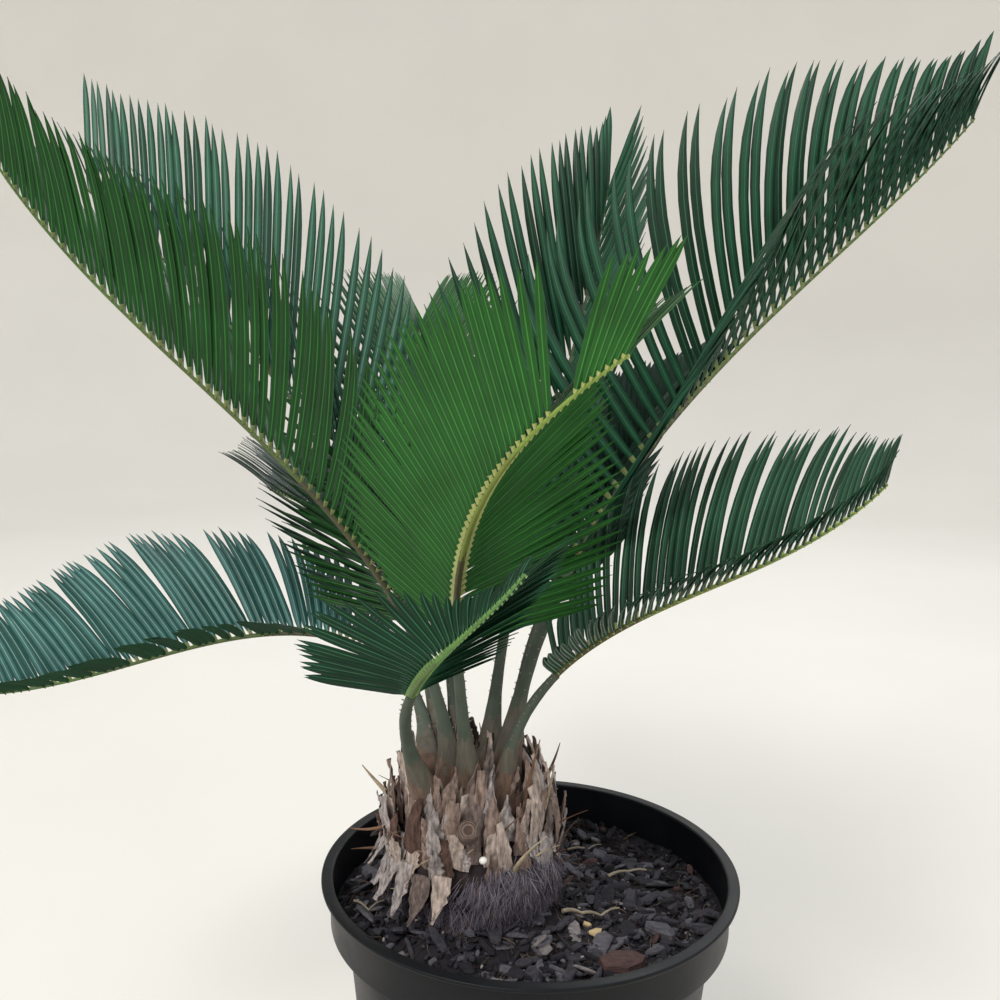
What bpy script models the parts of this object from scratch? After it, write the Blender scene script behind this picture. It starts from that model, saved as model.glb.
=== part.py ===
# Sago palm in a nursery pot: metres, +Z up, origin at the centre of the pot's flat underside.
import math

import bmesh
import bpy
from mathutils import Matrix, Vector
from mathutils.bvhtree import BVHTree

GAP = 0.0003

# Pot: a thin moulded shell with a collar and a flat flange round its mouth
POT_HEIGHT = 0.165
POT_BASE_RADIUS = 0.078
POT_BODY_RADIUS = 0.0925
POT_COLLAR_RADIUS = 0.1005
POT_RIM_RADIUS = 0.105
POT_COLLAR_HEIGHT = 0.024
POT_FLANGE_THICKNESS = 0.002
POT_WALL = 0.0015
POT_FOOT_BEVEL = 0.003
POT_STEPS = 32

# Mulch: level to the pot wall, heaped round the trunk's foot
MULCH_LEVEL = 0.1395
MULCH_MOUND = 0.010
MULCH_MOUND_REACH = 0.034
MULCH_RINGS = 7
MULCH_STEPS = POT_STEPS

# The largest bark chips that lie on the mulch: place, length, breadth, thickness, turn (degrees)
BARK_CHIPS = [
    (0.042, -0.050, 0.024, 0.017, 0.006, 20),
    (0.053, 0.006, 0.022, 0.009, 0.005, 78),
    (0.064, -0.022, 0.020, 0.010, 0.005, -30),
    (0.040, 0.052, 0.018, 0.010, 0.004, 10),
    (0.004, -0.074, 0.020, 0.010, 0.004, 8),
    (-0.040, -0.073, 0.017, 0.009, 0.005, -28),
    (0.010, 0.072, 0.016, 0.009, 0.004, -8),
    (-0.044, 0.074, 0.016, 0.008, 0.004, 30),
]
CHIP_SIDES = 6
CHIP_TOP_SHARE = 0.8

# Trunk: a squat bulb clothed in old leaf bases
TRUNK_AXIS = (-0.030, 0.005)
TRUNK_TOP = 0.200
TRUNK_FOOT_RADIUS = 0.040
TRUNK_BELLY_RADIUS = 0.045
TRUNK_CROWN_RADIUS = 0.034
TRUNK_BELLY_PLACE = 0.5
TRUNK_SHOULDER_PLACE = 1.1
TRUNK_COLUMNS = 24
TRUNK_RINGS = 10
MULCH_SEAT_RADIUS = TRUNK_FOOT_RADIUS + 0.002
SCALE_LENGTH = 0.024
SCALE_THICKNESS = 0.0022
SCALE_POINT = 0.0012
SCALE_LEAN = (34.0, 12.0)
SCALE_GROWTH = (0.75, 1.05)
SCALE_BREADTH_SHARE = 0.86
SCALE_SHOULDER = 0.45
SCALE_STAND_OFF = 0.001
STUB_BREADTH_SHARE = 0.32

# Old petiole stubs on the trunk: bearing, height of root, length, lean from upright (degrees)
STUBS = [
    (182, 0.186, 0.034, 38),
    (200, 0.172, 0.030, 62),
    (176, 0.158, 0.028, 70),
    (-8, 0.186, 0.040, 24),
    (-30, 0.178, 0.048, 20),
    (38, 0.182, 0.036, 42),
    (128, 0.184, 0.038, 40),
    (-124, 0.164, 0.026, 58),
]

# Petioles and ribs
PETIOLE_FOOT_RADIUS = 0.0040
PETIOLE_END_RADIUS = 0.0022
PETIOLE_TAPER_END = 0.7
PETIOLE_POINTS = 9
PATH_STEPS = 60
RIB_WIDTH = (0.0042, 0.0016)
RIB_DEPTH = (0.0032, 0.0014)

# Leaflets, fewer and wider than on the living plant
LEAFLET_PAIRS = 22
LEAFLET_FILL = 0.70
LEAFLET_SHOULDER = 0.22
LEAFLET_CURL = 7.0
LEAFLET_FULL_FROM = 0.2
LEAFLET_SHORTENS_FROM = 0.35
SPLAY_POWER = 0.9
VEE_SETTLES_AT = 0.5
LEAFLET_ROOT_SHARE = 0.80
LEAFLET_TIP_SHARE = 0.58
LEAFLET_THICKNESS = 0.0013
LEAFLET_TIP = 0.0011
LEAFLET_TRIALS = (1.0, 0.8, 0.6, 0.4)
CLEARANCE = 0.0005
CLEARANCE_ROOT = 0.004
CLEARANCE_ROOT_BREADTH = 0.8
NEIGHBOUR_RANGE = 0.15
PAIR_PLACE = 0.55

# Each frond, angles in degrees at its root, middle and tip: heading is turned from +X towards +Y,
# rise is above the horizontal. Splay is a leaflet's angle to the rib, vee its lift above the frond's
# flat, roll the turn of that flat about the rib, each at the first and last leaflet.
FRONDS = {
    "front_left": dict(
        seat=(-0.041, -0.006), length=0.380, petiole=0.25, heading=(-170, -179, -148),
        rise=(94, 46, 60), leaflet=0.099, splay=(78, 38), vee=(0, 43), roll=(58, 0),
    ),
    "back_left": dict(
        seat=(-0.044, 0.012), length=0.424, petiole=0.28, heading=(102, 157, 152),
        rise=(66, 49, 35), leaflet=0.127, splay=(50, 46), vee=(42, 56), roll=(-12, -14),
    ),
    "front_centre": dict(
        seat=(-0.030, -0.011), length=0.271, petiole=0.35, heading=(-114, -79, -13),
        rise=(81, 56, 35), leaflet=0.084, splay=(88, 50), vee=(27, 47), roll=(-14, -20),
    ),
    "back_right": dict(
        seat=(-0.022, 0.017), length=0.359, petiole=0.28, heading=(70, 63, 59),
        rise=(84, 58, 76), leaflet=0.122, splay=(64, 33), vee=(33, 55), roll=(9, 21),
    ),
    "right_high": dict(
        seat=(-0.014, 0.002), length=0.488, petiole=0.26, heading=(26, 25, 27),
        rise=(87, 43, 44), leaflet=0.120, splay=(88, 32), vee=(46, 74), roll=(22, 14),
    ),
    "right_back": dict(
        seat=(-0.011, 0.015), length=0.294, petiole=0.32, heading=(74, 50, 37),
        rise=(80, 42, 35), leaflet=0.080, splay=(78, 40), vee=(22, 52), roll=(0, 0),
    ),
    "right_low": dict(
        seat=(-0.012, -0.010), length=0.251, petiole=0.30, heading=(-14, -17, -24),
        rise=(100, 31, 51), leaflet=0.102, splay=(82, 68), vee=(28, 27), roll=(16, 5),
    ),
    "left_low": dict(
        seat=(-0.055, 0.004), length=0.300, petiole=0.28, heading=(70, 192, 186),
        rise=(76, -3, 2), leaflet=0.080, splay=(89, 72), vee=(12, 40), roll=(-6, -24),
    ),
    "front_low": dict(
        seat=(-0.049, -0.017), length=0.204, petiole=0.45, heading=(-143, -65, -63),
        rise=(70, 41, 40), leaflet=0.057, splay=(96, 48), vee=(14, 24), roll=(0, -21),
    ),
    "back_high": dict(
        seat=(-0.034, 0.024), length=0.380, petiole=0.28, heading=(120, 100, 92),
        rise=(74, 40, 20), leaflet=0.110, splay=(80, 38), vee=(20, 52), roll=(0, 0),
    ),
    "back_low": dict(
        seat=(-0.046, 0.024), length=0.300, petiole=0.30, heading=(110, 122, 132),
        rise=(72, 20, 6), leaflet=0.090, splay=(82, 45), vee=(20, 45), roll=(0, 0),
    ),
}

COLLECTION = "sago_palm"


def clear_scene():
    for obj in list(bpy.data.objects):
        bpy.data.objects.remove(obj, do_unlink=True)


def material(name, colour, roughness):
    mat = bpy.data.materials.new(name)
    mat.use_nodes = True
    shader = mat.node_tree.nodes["Principled BSDF"]
    shader.inputs["Base Color"].default_value = (*colour, 1.0)
    shader.inputs["Roughness"].default_value = roughness
    shader.inputs["Metallic"].default_value = 0.0
    return mat


def add_object(name, data, mat, collection):
    obj = bpy.data.objects.new(name, data)
    data.materials.clear()
    data.materials.append(mat)
    collection.objects.link(obj)
    return obj


def mesh_from(bm, name):
    bmesh.ops.recalc_face_normals(bm, faces=bm.faces)
    mesh = bpy.data.meshes.new(name)
    bm.to_mesh(mesh)
    bm.free()
    return mesh


def blend(start, end, share):
    return start + (end - start) * share


def ease(low, high, value):
    share = min(max((value - low) / (high - low), 0.0), 1.0)
    return share * share * (3.0 - 2.0 * share)


def through(values, share):
    """A smooth curve through three values at shares 0, 0.5 and 1."""
    root, middle, tip = values
    return (
        root * (1 - share) * (1 - 2 * share)
        + 4 * middle * share * (1 - share)
        + tip * share * (2 * share - 1)
    )


def turned(name, profile, steps, mat, collection):
    """A closed solid turned from an outline that runs from the axis out, round and back."""
    mesh = bpy.data.meshes.new(name)
    points = [(radius, 0.0, height) for radius, height in profile]
    edges = [(i, i + 1) for i in range(len(points) - 1)]
    mesh.from_pydata(points, edges, [])
    obj = add_object(name, mesh, mat, collection)
    screw = obj.modifiers.new("turn", "SCREW")
    screw.steps = steps
    screw.render_steps = steps
    screw.use_merge_vertices = True
    screw.merge_threshold = 0.00001
    return obj


def pot_inner_radius(height):
    """Inside radius of the pot below the collar."""
    ledge = POT_HEIGHT - POT_COLLAR_HEIGHT
    return blend(POT_BASE_RADIUS, POT_BODY_RADIUS, height / ledge) - POT_WALL


def build_pot(mat, collection):
    ledge = POT_HEIGHT - POT_COLLAR_HEIGHT
    flange = POT_HEIGHT - POT_FLANGE_THICKNESS
    profile = [
        (0.0, POT_WALL),
        (pot_inner_radius(POT_WALL), POT_WALL),
        (POT_BODY_RADIUS - POT_WALL, ledge + POT_WALL),
        (POT_COLLAR_RADIUS - POT_WALL, ledge + POT_WALL),
        (POT_COLLAR_RADIUS - POT_WALL, POT_HEIGHT),
        (POT_RIM_RADIUS, POT_HEIGHT),
        (POT_RIM_RADIUS, flange),
        (POT_COLLAR_RADIUS, flange),
        (POT_COLLAR_RADIUS, ledge),
        (POT_BODY_RADIUS, ledge),
        (POT_BASE_RADIUS, POT_FOOT_BEVEL),
        (POT_BASE_RADIUS - POT_FOOT_BEVEL, 0.0),
        (0.0, 0.0),
    ]
    return turned("pot", profile, POT_STEPS, mat, collection)


def mulch_height(distance):
    """Height of the mulch at a distance outside the trunk's foot."""
    return MULCH_LEVEL + MULCH_MOUND * (1.0 - ease(0.0, MULCH_MOUND_REACH, distance))


def build_mulch(mat, collection):
    """A filling with a flat seat under the trunk, a heap round it and a level edge."""
    edge = pot_inner_radius(MULCH_LEVEL) - GAP
    foot = pot_inner_radius(POT_WALL + GAP) - GAP
    bottom = POT_WALL + GAP
    centre = Vector((*TRUNK_AXIS, 0.0))
    bm = bmesh.new()
    rings = []
    for ring in range(MULCH_RINGS + 1):
        share = ring / MULCH_RINGS
        loop = []
        for step in range(MULCH_STEPS):
            angle = 2 * math.pi * step / MULCH_STEPS
            direction = Vector((math.cos(angle), math.sin(angle), 0.0))
            inner = centre + direction * MULCH_SEAT_RADIUS
            outer = direction * edge
            spot = inner.lerp(outer, share)
            distance = (spot - centre).length - MULCH_SEAT_RADIUS
            level = mulch_height(distance) if ring < MULCH_RINGS else MULCH_LEVEL
            loop.append(bm.verts.new((spot.x, spot.y, level)))
        rings.append(loop)
    base = []
    for step in range(MULCH_STEPS):
        angle = 2 * math.pi * step / MULCH_STEPS
        base.append(bm.verts.new((foot * math.cos(angle), foot * math.sin(angle), bottom)))
    rings.append(base)
    for low, high in zip(rings, rings[1:]):
        for step in range(MULCH_STEPS):
            after = (step + 1) % MULCH_STEPS
            bm.faces.new((low[step], low[after], high[after], high[step]))
    bm.faces.new(rings[0])
    bm.faces.new(base)
    return add_object("mulch", mesh_from(bm, "mulch"), mat, collection)


def build_chips(mat, collection):
    """Bark chips that lie just clear of the mulch."""
    axis = Vector(TRUNK_AXIS)
    for number, (x, y, length, breadth, thickness, turn) in enumerate(BARK_CHIPS, start=1):
        bm = bmesh.new()
        bmesh.ops.create_cone(
            bm,
            cap_ends=True,
            segments=CHIP_SIDES,
            radius1=0.5,
            radius2=0.5 * CHIP_TOP_SHARE,
            depth=1.0,
        )
        bmesh.ops.scale(bm, vec=(length, breadth, thickness), verts=bm.verts)
        bmesh.ops.rotate(bm, matrix=Matrix.Rotation(math.radians(turn), 3, "Z"), verts=bm.verts)
        nearest = min((Vector((x + v.co.x, y + v.co.y)) - axis).length for v in bm.verts)
        name = f"bark_chip_{number}"
        chip = add_object(name, mesh_from(bm, name), mat, collection)
        chip.location = (x, y, mulch_height(nearest - MULCH_SEAT_RADIUS) + 2 * GAP + thickness / 2)


def trunk_radius(share):
    """Radius of the trunk's body from its foot (0) to its crown (1)."""
    if share < TRUNK_BELLY_PLACE:
        swell = ease(0.0, TRUNK_BELLY_PLACE, share)
        return blend(TRUNK_FOOT_RADIUS, TRUNK_BELLY_RADIUS, swell)
    narrowing = ease(TRUNK_BELLY_PLACE, TRUNK_SHOULDER_PLACE, share)
    return blend(TRUNK_BELLY_RADIUS, TRUNK_CROWN_RADIUS, narrowing)


def draw_out(bm, face, across, upright, sections):
    """Draw a four-sided face out through sections: (centre, half breadth, half thickness) each.

    across and upright are the face's own two directions, which say which corner is which.
    """
    centre = face.calc_center_median()
    corners = list(face.verts)
    signs = []
    for vert in corners:
        offset = vert.co - centre
        signs.append((1 if offset.dot(across) > 0 else -1, 1 if offset.dot(upright) > 0 else -1))
    bm.faces.remove(face)
    for spot, breadth, thickness in sections:
        ring = [bm.verts.new(spot + breadth * x + thickness * y) for x, y in signs]
        for i in range(4):
            after = (i + 1) % 4
            bm.faces.new((corners[i], corners[after], ring[after], ring[i]))
        corners = ring
    bm.faces.new(corners)


def scale_sections(centre, outward, length, lean, half_width):
    """Sections of a pointed scale that rises from the trunk's side and leans out."""
    up = Vector((0.0, 0.0, 1.0))
    across = up.cross(outward).normalized()
    along = up * math.cos(lean) + outward * math.sin(lean)
    inward = up * math.sin(lean) - outward * math.cos(lean)
    root = centre + outward * SCALE_STAND_OFF
    return [
        (root + along * length * SCALE_SHOULDER, across * half_width, inward * SCALE_THICKNESS / 2),
        (root + along * length, across * SCALE_POINT / 2, inward * SCALE_POINT / 2),
    ]


def build_trunk(mat, collection):
    """The trunk with its leaf-base scales and the stubs of old petioles, as one solid."""
    foot = MULCH_LEVEL + MULCH_MOUND + GAP
    bm = bmesh.new()
    rings = []
    for ring in range(TRUNK_RINGS + 1):
        share = ring / TRUNK_RINGS
        radius = trunk_radius(share)
        loop = []
        for column in range(TRUNK_COLUMNS):
            angle = 2 * math.pi * column / TRUNK_COLUMNS
            x = TRUNK_AXIS[0] + radius * math.cos(angle)
            y = TRUNK_AXIS[1] + radius * math.sin(angle)
            loop.append(bm.verts.new((x, y, blend(foot, TRUNK_TOP, share))))
        rings.append(loop)
    sides = {}
    for ring in range(TRUNK_RINGS):
        for column in range(TRUNK_COLUMNS):
            after = (column + 1) % TRUNK_COLUMNS
            low, high = rings[ring], rings[ring + 1]
            face = bm.faces.new((low[column], low[after], high[after], high[column]))
            sides[ring, column] = face
    bm.faces.new(list(reversed(rings[0])))
    bm.faces.new(rings[-1])
    bm.normal_update()

    stub_seats = {}
    for bearing, height, length, lean in STUBS:
        column = round(bearing / 360 * TRUNK_COLUMNS - 0.5) % TRUNK_COLUMNS
        ring = int((height - foot) / (TRUNK_TOP - foot) * TRUNK_RINGS)
        stub_seats[ring, column] = (length, math.radians(lean))

    for (ring, column), face in sides.items():
        angle = 2 * math.pi * (column + 0.5) / TRUNK_COLUMNS
        outward = Vector((math.cos(angle), math.sin(angle), 0.0))
        across = Vector((0.0, 0.0, 1.0)).cross(outward)
        up = Vector((0.0, 0.0, 1.0))
        half_width = trunk_radius(ring / TRUNK_RINGS) * math.pi / TRUNK_COLUMNS
        if (ring, column) in stub_seats:
            length, lean = stub_seats[ring, column]
            width = half_width * STUB_BREADTH_SHARE
        elif ring % 2 == 0 and (column + ring // 2) % 2 == 0 and ring > 0:
            share = ring / TRUNK_RINGS
            lean = math.radians(blend(*SCALE_LEAN, share))
            length = SCALE_LENGTH * blend(*SCALE_GROWTH, share)
            width = half_width * SCALE_BREADTH_SHARE
        else:
            continue
        sections = scale_sections(face.calc_center_median(), outward, length, lean, width)
        draw_out(bm, face, across, up, sections)
    return add_object("trunk", mesh_from(bm, "trunk"), mat, collection)


def axes_at(spec, share):
    """Unit vectors along a frond's rib, to its left, and up from its flat, at a share of its length."""
    heading = math.radians(through(spec["heading"], share))
    rise = math.radians(through(spec["rise"], share))
    level = math.cos(rise)
    along = Vector((level * math.cos(heading), level * math.sin(heading), math.sin(rise)))
    left = Vector((-math.sin(heading), math.cos(heading), 0.0))
    above = along.cross(left)
    roll = math.radians(blend(*spec["roll"], share))
    rolled_left = left * math.cos(roll) + above * math.sin(roll)
    rolled_above = above * math.cos(roll) - left * math.sin(roll)
    return along, rolled_left, rolled_above


def frond_path(spec):
    """Points along the middle of the petiole and rib, from seat to tip."""
    x, y = spec["seat"]
    tilt = abs(math.cos(math.radians(spec["rise"][0])))
    points = [Vector((x, y, TRUNK_TOP + GAP + PETIOLE_FOOT_RADIUS * tilt))]
    step = spec["length"] / PATH_STEPS
    for i in range(PATH_STEPS):
        along = axes_at(spec, (i + 0.5) / PATH_STEPS)[0]
        points.append(points[-1] + along * step)
    return points


def spot_on(points, share):
    place = min(max(share, 0.0), 1.0) * (len(points) - 1)
    index = min(int(place), len(points) - 2)
    return points[index].lerp(points[index + 1], place - index)


def build_petiole(name, spec, points, mat, collection):
    curve = bpy.data.curves.new(name, "CURVE")
    curve.dimensions = "3D"
    curve.bevel_depth = 1.0
    curve.bevel_resolution = 1
    curve.use_fill_caps = True
    spline = curve.splines.new("POLY")
    spline.points.add(PETIOLE_POINTS - 1)
    for i, point in enumerate(spline.points):
        part = i / (PETIOLE_POINTS - 1)
        spot = spot_on(points, spec["petiole"] * part)
        point.co = (*spot, 1.0)
        taper = ease(0.0, PETIOLE_TAPER_END, part)
        point.radius = blend(PETIOLE_FOOT_RADIUS, PETIOLE_END_RADIUS, taper)
    return add_object(name, curve, mat, collection)


def leaflet_length(spec, part):
    """Length of a leaflet at a share of the blade: shorter at both ends."""
    swell = blend(LEAFLET_ROOT_SHARE, 1.0, ease(0.0, LEAFLET_FULL_FROM, part))
    taper = blend(1.0, LEAFLET_TIP_SHARE, ease(LEAFLET_SHORTENS_FROM, 1.0, part))
    return spec["leaflet"] * swell * taper


def leaflet_sections(spec, points, part, side, reach):
    """Sections of one leaflet, from the rib's side to its point."""
    share = blend(spec["petiole"], 1.0, part)
    along, left, above = axes_at(spec, share)
    splay = math.radians(blend(*spec["splay"], part**SPLAY_POWER) - LEAFLET_CURL)
    vee = math.radians(blend(*spec["vee"], ease(0.0, VEE_SETTLES_AT, part)))
    outward = left * side * math.cos(vee) + above * math.sin(vee)
    direction = along * math.cos(splay) + outward * math.sin(splay)
    breadth = (along - direction * direction.dot(along)).normalized()
    thickness = above * math.cos(vee) - left * side * math.sin(vee)
    spacing = spec["length"] * (1.0 - spec["petiole"]) / LEAFLET_PAIRS
    half = 0.5 * LEAFLET_FILL * spacing * math.sin(splay)
    length = leaflet_length(spec, part) * reach
    root = spot_on(points, share) + left * side * blend(*RIB_WIDTH, part) / 2
    shoulder = root + direction * length * LEAFLET_SHOULDER
    tip = root + direction * length
    return [
        (shoulder, breadth * half, thickness * LEAFLET_THICKNESS / 2),
        (tip, breadth * LEAFLET_TIP / 2, thickness * LEAFLET_TIP / 2),
    ]


def section_tree(root, sections, margin):
    """A search tree of the solid that runs from a root point through sections."""
    verts = []
    faces = []
    start = (root, sections[0][1] * CLEARANCE_ROOT_BREADTH, sections[0][2])
    for spot, breadth, thickness in [start] + sections:
        wide = breadth + breadth.normalized() * margin
        thick = thickness + thickness.normalized() * margin
        verts += [spot + wide * x + thick * y for x, y in ((1, 1), (-1, 1), (-1, -1), (1, -1))]
    rings = len(sections) + 1
    for ring in range(rings - 1):
        for i in range(4):
            after = (i + 1) % 4
            low = ring * 4
            faces.append((low + i, low + after, low + 4 + after, low + 4 + i))
    last = (rings - 1) * 4
    faces.append((last, last + 1, last + 2, last + 3))
    return BVHTree.FromPolygons(verts, faces)


def rib_rings(spec):
    """Shares of the blade where the rib has a ring: two for each leaflet pair, and one at each end."""
    shares = [0.0]
    for pair in range(LEAFLET_PAIRS):
        middle = (pair + PAIR_PLACE) / LEAFLET_PAIRS
        shares.append(middle - 0.5 * LEAFLET_FILL / LEAFLET_PAIRS)
        shares.append(middle + 0.5 * LEAFLET_FILL / LEAFLET_PAIRS)
    shares.append(1.0)
    return shares


def rib_mesh(spec, points):
    """The blade's rib, and its side faces keyed by leaflet pair and side."""
    bm = bmesh.new()
    rings = []
    shares = rib_rings(spec)
    for part in shares:
        share = blend(spec["petiole"], 1.0, part)
        along, left, above = axes_at(spec, share)
        spot = spot_on(points, share)
        if part == 0.0:
            spot = spot + along * 2 * GAP
        half_width = left * blend(*RIB_WIDTH, part) / 2
        half_depth = above * blend(*RIB_DEPTH, part) / 2
        corners = ((1, 1), (-1, 1), (-1, -1), (1, -1))
        rings.append([bm.verts.new(spot + half_width * x + half_depth * y) for x, y in corners])
    seats = {}
    for index, (low, high) in enumerate(zip(rings, rings[1:])):
        for i in range(4):
            after = (i + 1) % 4
            face = bm.faces.new((low[i], low[after], high[after], high[i]))
            if index % 2 == 1 and i in (1, 3):
                seats[index // 2, -1 if i == 1 else 1] = face
    bm.faces.new(list(reversed(rings[0])))
    bm.faces.new(rings[-1])
    bm.normal_update()
    return bm, seats


def tree_of(obj):
    """A search tree of an object as it stands in the scene."""
    graph = bpy.context.evaluated_depsgraph_get()
    mesh = bpy.data.meshes.new_from_object(obj.evaluated_get(graph))
    tree = BVHTree.FromPolygons([v.co for v in mesh.vertices], [p.vertices for p in mesh.polygons])
    bpy.data.meshes.remove(mesh)
    return tree


def build_blade(name, spec, points, rib, fixed, placed, mat, collection):
    """A frond's blade: its rib with every leaflet that stays clear of the rest of the plant."""
    bm, seats = rib
    for (pair, side), face in seats.items():
        part = (pair + PAIR_PLACE) / LEAFLET_PAIRS
        share = blend(spec["petiole"], 1.0, part)
        along, left, above = axes_at(spec, share)
        root = spot_on(points, share) + left * side * CLEARANCE_ROOT
        for reach in LEAFLET_TRIALS:
            sections = leaflet_sections(spec, points, part, side, reach)
            tree = section_tree(root, sections, CLEARANCE)
            tip = sections[-1][0]
            if any(tree.overlap(other) for other in fixed):
                continue
            near = (other for spot, other in placed if (spot - tip).length < NEIGHBOUR_RANGE)
            if any(tree.overlap(other) for other in near):
                continue
            draw_out(bm, face, along, above, sections)
            placed.append((tip, section_tree(root, sections, 0.0)))
            break
    return add_object(name, mesh_from(bm, name), mat, collection)


def build():
    clear_scene()
    collection = bpy.data.collections.new(COLLECTION)
    bpy.context.scene.collection.children.link(collection)

    plastic = material("pot_plastic", (0.012, 0.013, 0.015), 0.38)
    bark = material("mulch_bark", (0.045, 0.030, 0.022), 0.9)
    chip = material("bark_chip", (0.07, 0.04, 0.03), 0.85)
    scales = material("trunk_scales", (0.26, 0.19, 0.13), 0.85)
    stalk = material("petiole_green", (0.17, 0.19, 0.10), 0.6)
    leaf = material("frond_green", (0.045, 0.16, 0.06), 0.45)

    build_pot(plastic, collection)
    build_mulch(bark, collection)
    build_chips(chip, collection)
    trunk = build_trunk(scales, collection)

    paths = {}
    ribs = {}
    petioles = {}
    for name, spec in FRONDS.items():
        paths[name] = frond_path(spec)
        petiole = build_petiole("petiole_" + name, spec, paths[name], stalk, collection)
        bpy.context.view_layer.update()
        petioles[name] = tree_of(petiole)
        ribs[name] = rib_mesh(spec, paths[name])
    trunk_tree = tree_of(trunk)
    rib_trees = {name: BVHTree.FromBMesh(ribs[name][0]) for name in FRONDS}

    placed = []
    for name, spec in FRONDS.items():
        fixed = [trunk_tree] + list(petioles.values())
        fixed += [tree for other, tree in rib_trees.items() if other != name]
        build_blade(
            "blade_" + name, spec, paths[name], ribs[name], fixed, placed, leaf, collection
        )


build()
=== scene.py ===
import random
from math import copysign, cos, degrees, hypot, pi, radians, sin, sqrt

import bmesh
import bpy
from mathutils import Matrix, Vector, noise
from mathutils.bvhtree import BVHTree


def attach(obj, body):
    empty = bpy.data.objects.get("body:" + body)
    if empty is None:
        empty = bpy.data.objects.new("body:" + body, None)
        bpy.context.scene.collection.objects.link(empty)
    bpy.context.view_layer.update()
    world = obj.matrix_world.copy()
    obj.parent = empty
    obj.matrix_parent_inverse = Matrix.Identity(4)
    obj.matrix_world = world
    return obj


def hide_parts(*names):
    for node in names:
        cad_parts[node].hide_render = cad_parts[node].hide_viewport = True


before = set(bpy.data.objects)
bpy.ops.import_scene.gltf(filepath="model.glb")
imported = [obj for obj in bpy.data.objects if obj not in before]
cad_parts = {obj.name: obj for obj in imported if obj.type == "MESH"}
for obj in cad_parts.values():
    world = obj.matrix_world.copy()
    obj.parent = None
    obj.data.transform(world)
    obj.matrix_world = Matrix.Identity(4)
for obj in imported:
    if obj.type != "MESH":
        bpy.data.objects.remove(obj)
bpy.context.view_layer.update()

BODY = "root"
TURN = 2 * pi
GOLDEN_TURN = radians(137.508)
UP = Vector((0.0, 0.0, 1.0))
GRAIN_DETAIL = 2.5

# The photograph's camera
CAMERA_EYE = (-0.0177, -0.4824, 0.4175)
CAMERA_PITCH = radians(7.7)
CAMERA_ROLL = radians(0.8)

# Studio: a level floor that curves up into a round wall; lamps by name, place, size, power, colour
FLOOR_REACH = 2.4
FLOOR_CURVE = 1.3
WALL_HEIGHT = 2.4
LAMPS = [
    ("key", (-1.1, -1.5, 2.3), 1.1, 44.0, (1.0, 0.97, 0.93)),
    ("fill", (1.7, -1.2, 1.7), 1.8, 9.0, (0.94, 0.97, 1.0)),
    ("back", (0.6, 1.7, 2.2), 1.6, 20.0, (0.95, 0.98, 1.0)),
]

# Pot: the CAD model's measures, then how its mesh is cut
GAP = 0.0003
POT_HEIGHT = 0.165
POT_BASE_RADIUS = 0.078
POT_BODY_RADIUS = 0.0925
POT_COLLAR_RADIUS = 0.1005
POT_RIM_RADIUS = 0.105
POT_COLLAR_HEIGHT = 0.024
POT_FLANGE_THICKNESS = 0.002
POT_WALL = 0.0015
POT_FOOT_BEVEL = 0.003
POT_LEDGE = POT_HEIGHT - POT_COLLAR_HEIGHT
POT_ROUNDING = 0.0012
POT_STEPS = 160

# Mulch: the CAD model's level and mound, then the relief, the bank at the wall and the litter
MULCH_LEVEL = 0.1395
MULCH_MOUND = 0.010
MULCH_MOUND_REACH = 0.034
MULCH_STEPS = 144
MULCH_RINGS = 30
MULCH_RELIEF = 0.0016
MULCH_SINK = 0.0006
MULCH_BANK = 0.0048
MULCH_BANK_FROM = 0.080
MULCH_EDGE = POT_COLLAR_RADIUS - POT_WALL - GAP
BED_UNDER_TRUNK = 0.012
LITTER_LIFT = 0.0034
SMALL_CHIPS = 760
SMALL_CHIP_LENGTH = (0.004, 0.013)
SMALL_CHIP_THICKNESS = (0.0008, 0.0028)
CRUMBS = 1500
CRUMB_SIZE = (0.0010, 0.0030)
FIBRES = 420
FIBRE_LENGTH = (0.006, 0.022)
FIBRE_RADIUS = (0.00014, 0.00032)
WHITE_FLECKS = 46
FLECK_SIZE = (0.0006, 0.0014)

# Trunk: the CAD model's measures, then its mesh and what it wears
TRUNK_AXIS = Vector((-0.030, 0.005, 0.0))
TRUNK_FOOT = MULCH_LEVEL + MULCH_MOUND
TRUNK_TOP = 0.200
TRUNK_FOOT_RADIUS = 0.040
TRUNK_BELLY_RADIUS = 0.045
TRUNK_CROWN_RADIUS = 0.034
TRUNK_BELLY_PLACE = 0.5
TRUNK_SHOULDER_PLACE = 1.1
TRUNK_COLUMNS = 96
TRUNK_RINGS = 26
SIDE_SCALES = 180
SCALE_LEVEL = (0.157, 0.199)
SCALE_LENGTH = (0.020, 0.030)
SCALE_BREADTH = (0.0150, 0.0115)
SCALE_THICKNESS = (0.0026, 0.0004)
SCALE_STATIONS = 11
SCALE_ROWS = 4
BARE_BEARING = radians(-62)
CROWN_SCALES = 70
CROWN_LENGTH = (0.020, 0.044)
CROWN_BREADTH = (0.0065, 0.0125)
CROWN_REACH = (0.010, 0.029)
SPLINTERS = 34
SPLINTER_LENGTH = (0.010, 0.024)
WOOL_BEARING = radians(-58)
WOOL_FOOT = 0.151
TUFTS = 96
TUFT_HAIRS = 72
HAIR_LENGTH = (0.0055, 0.0115)
HAIR_RADII = (0.00013, 0.00013, 0.00010, 0.00004)

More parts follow.
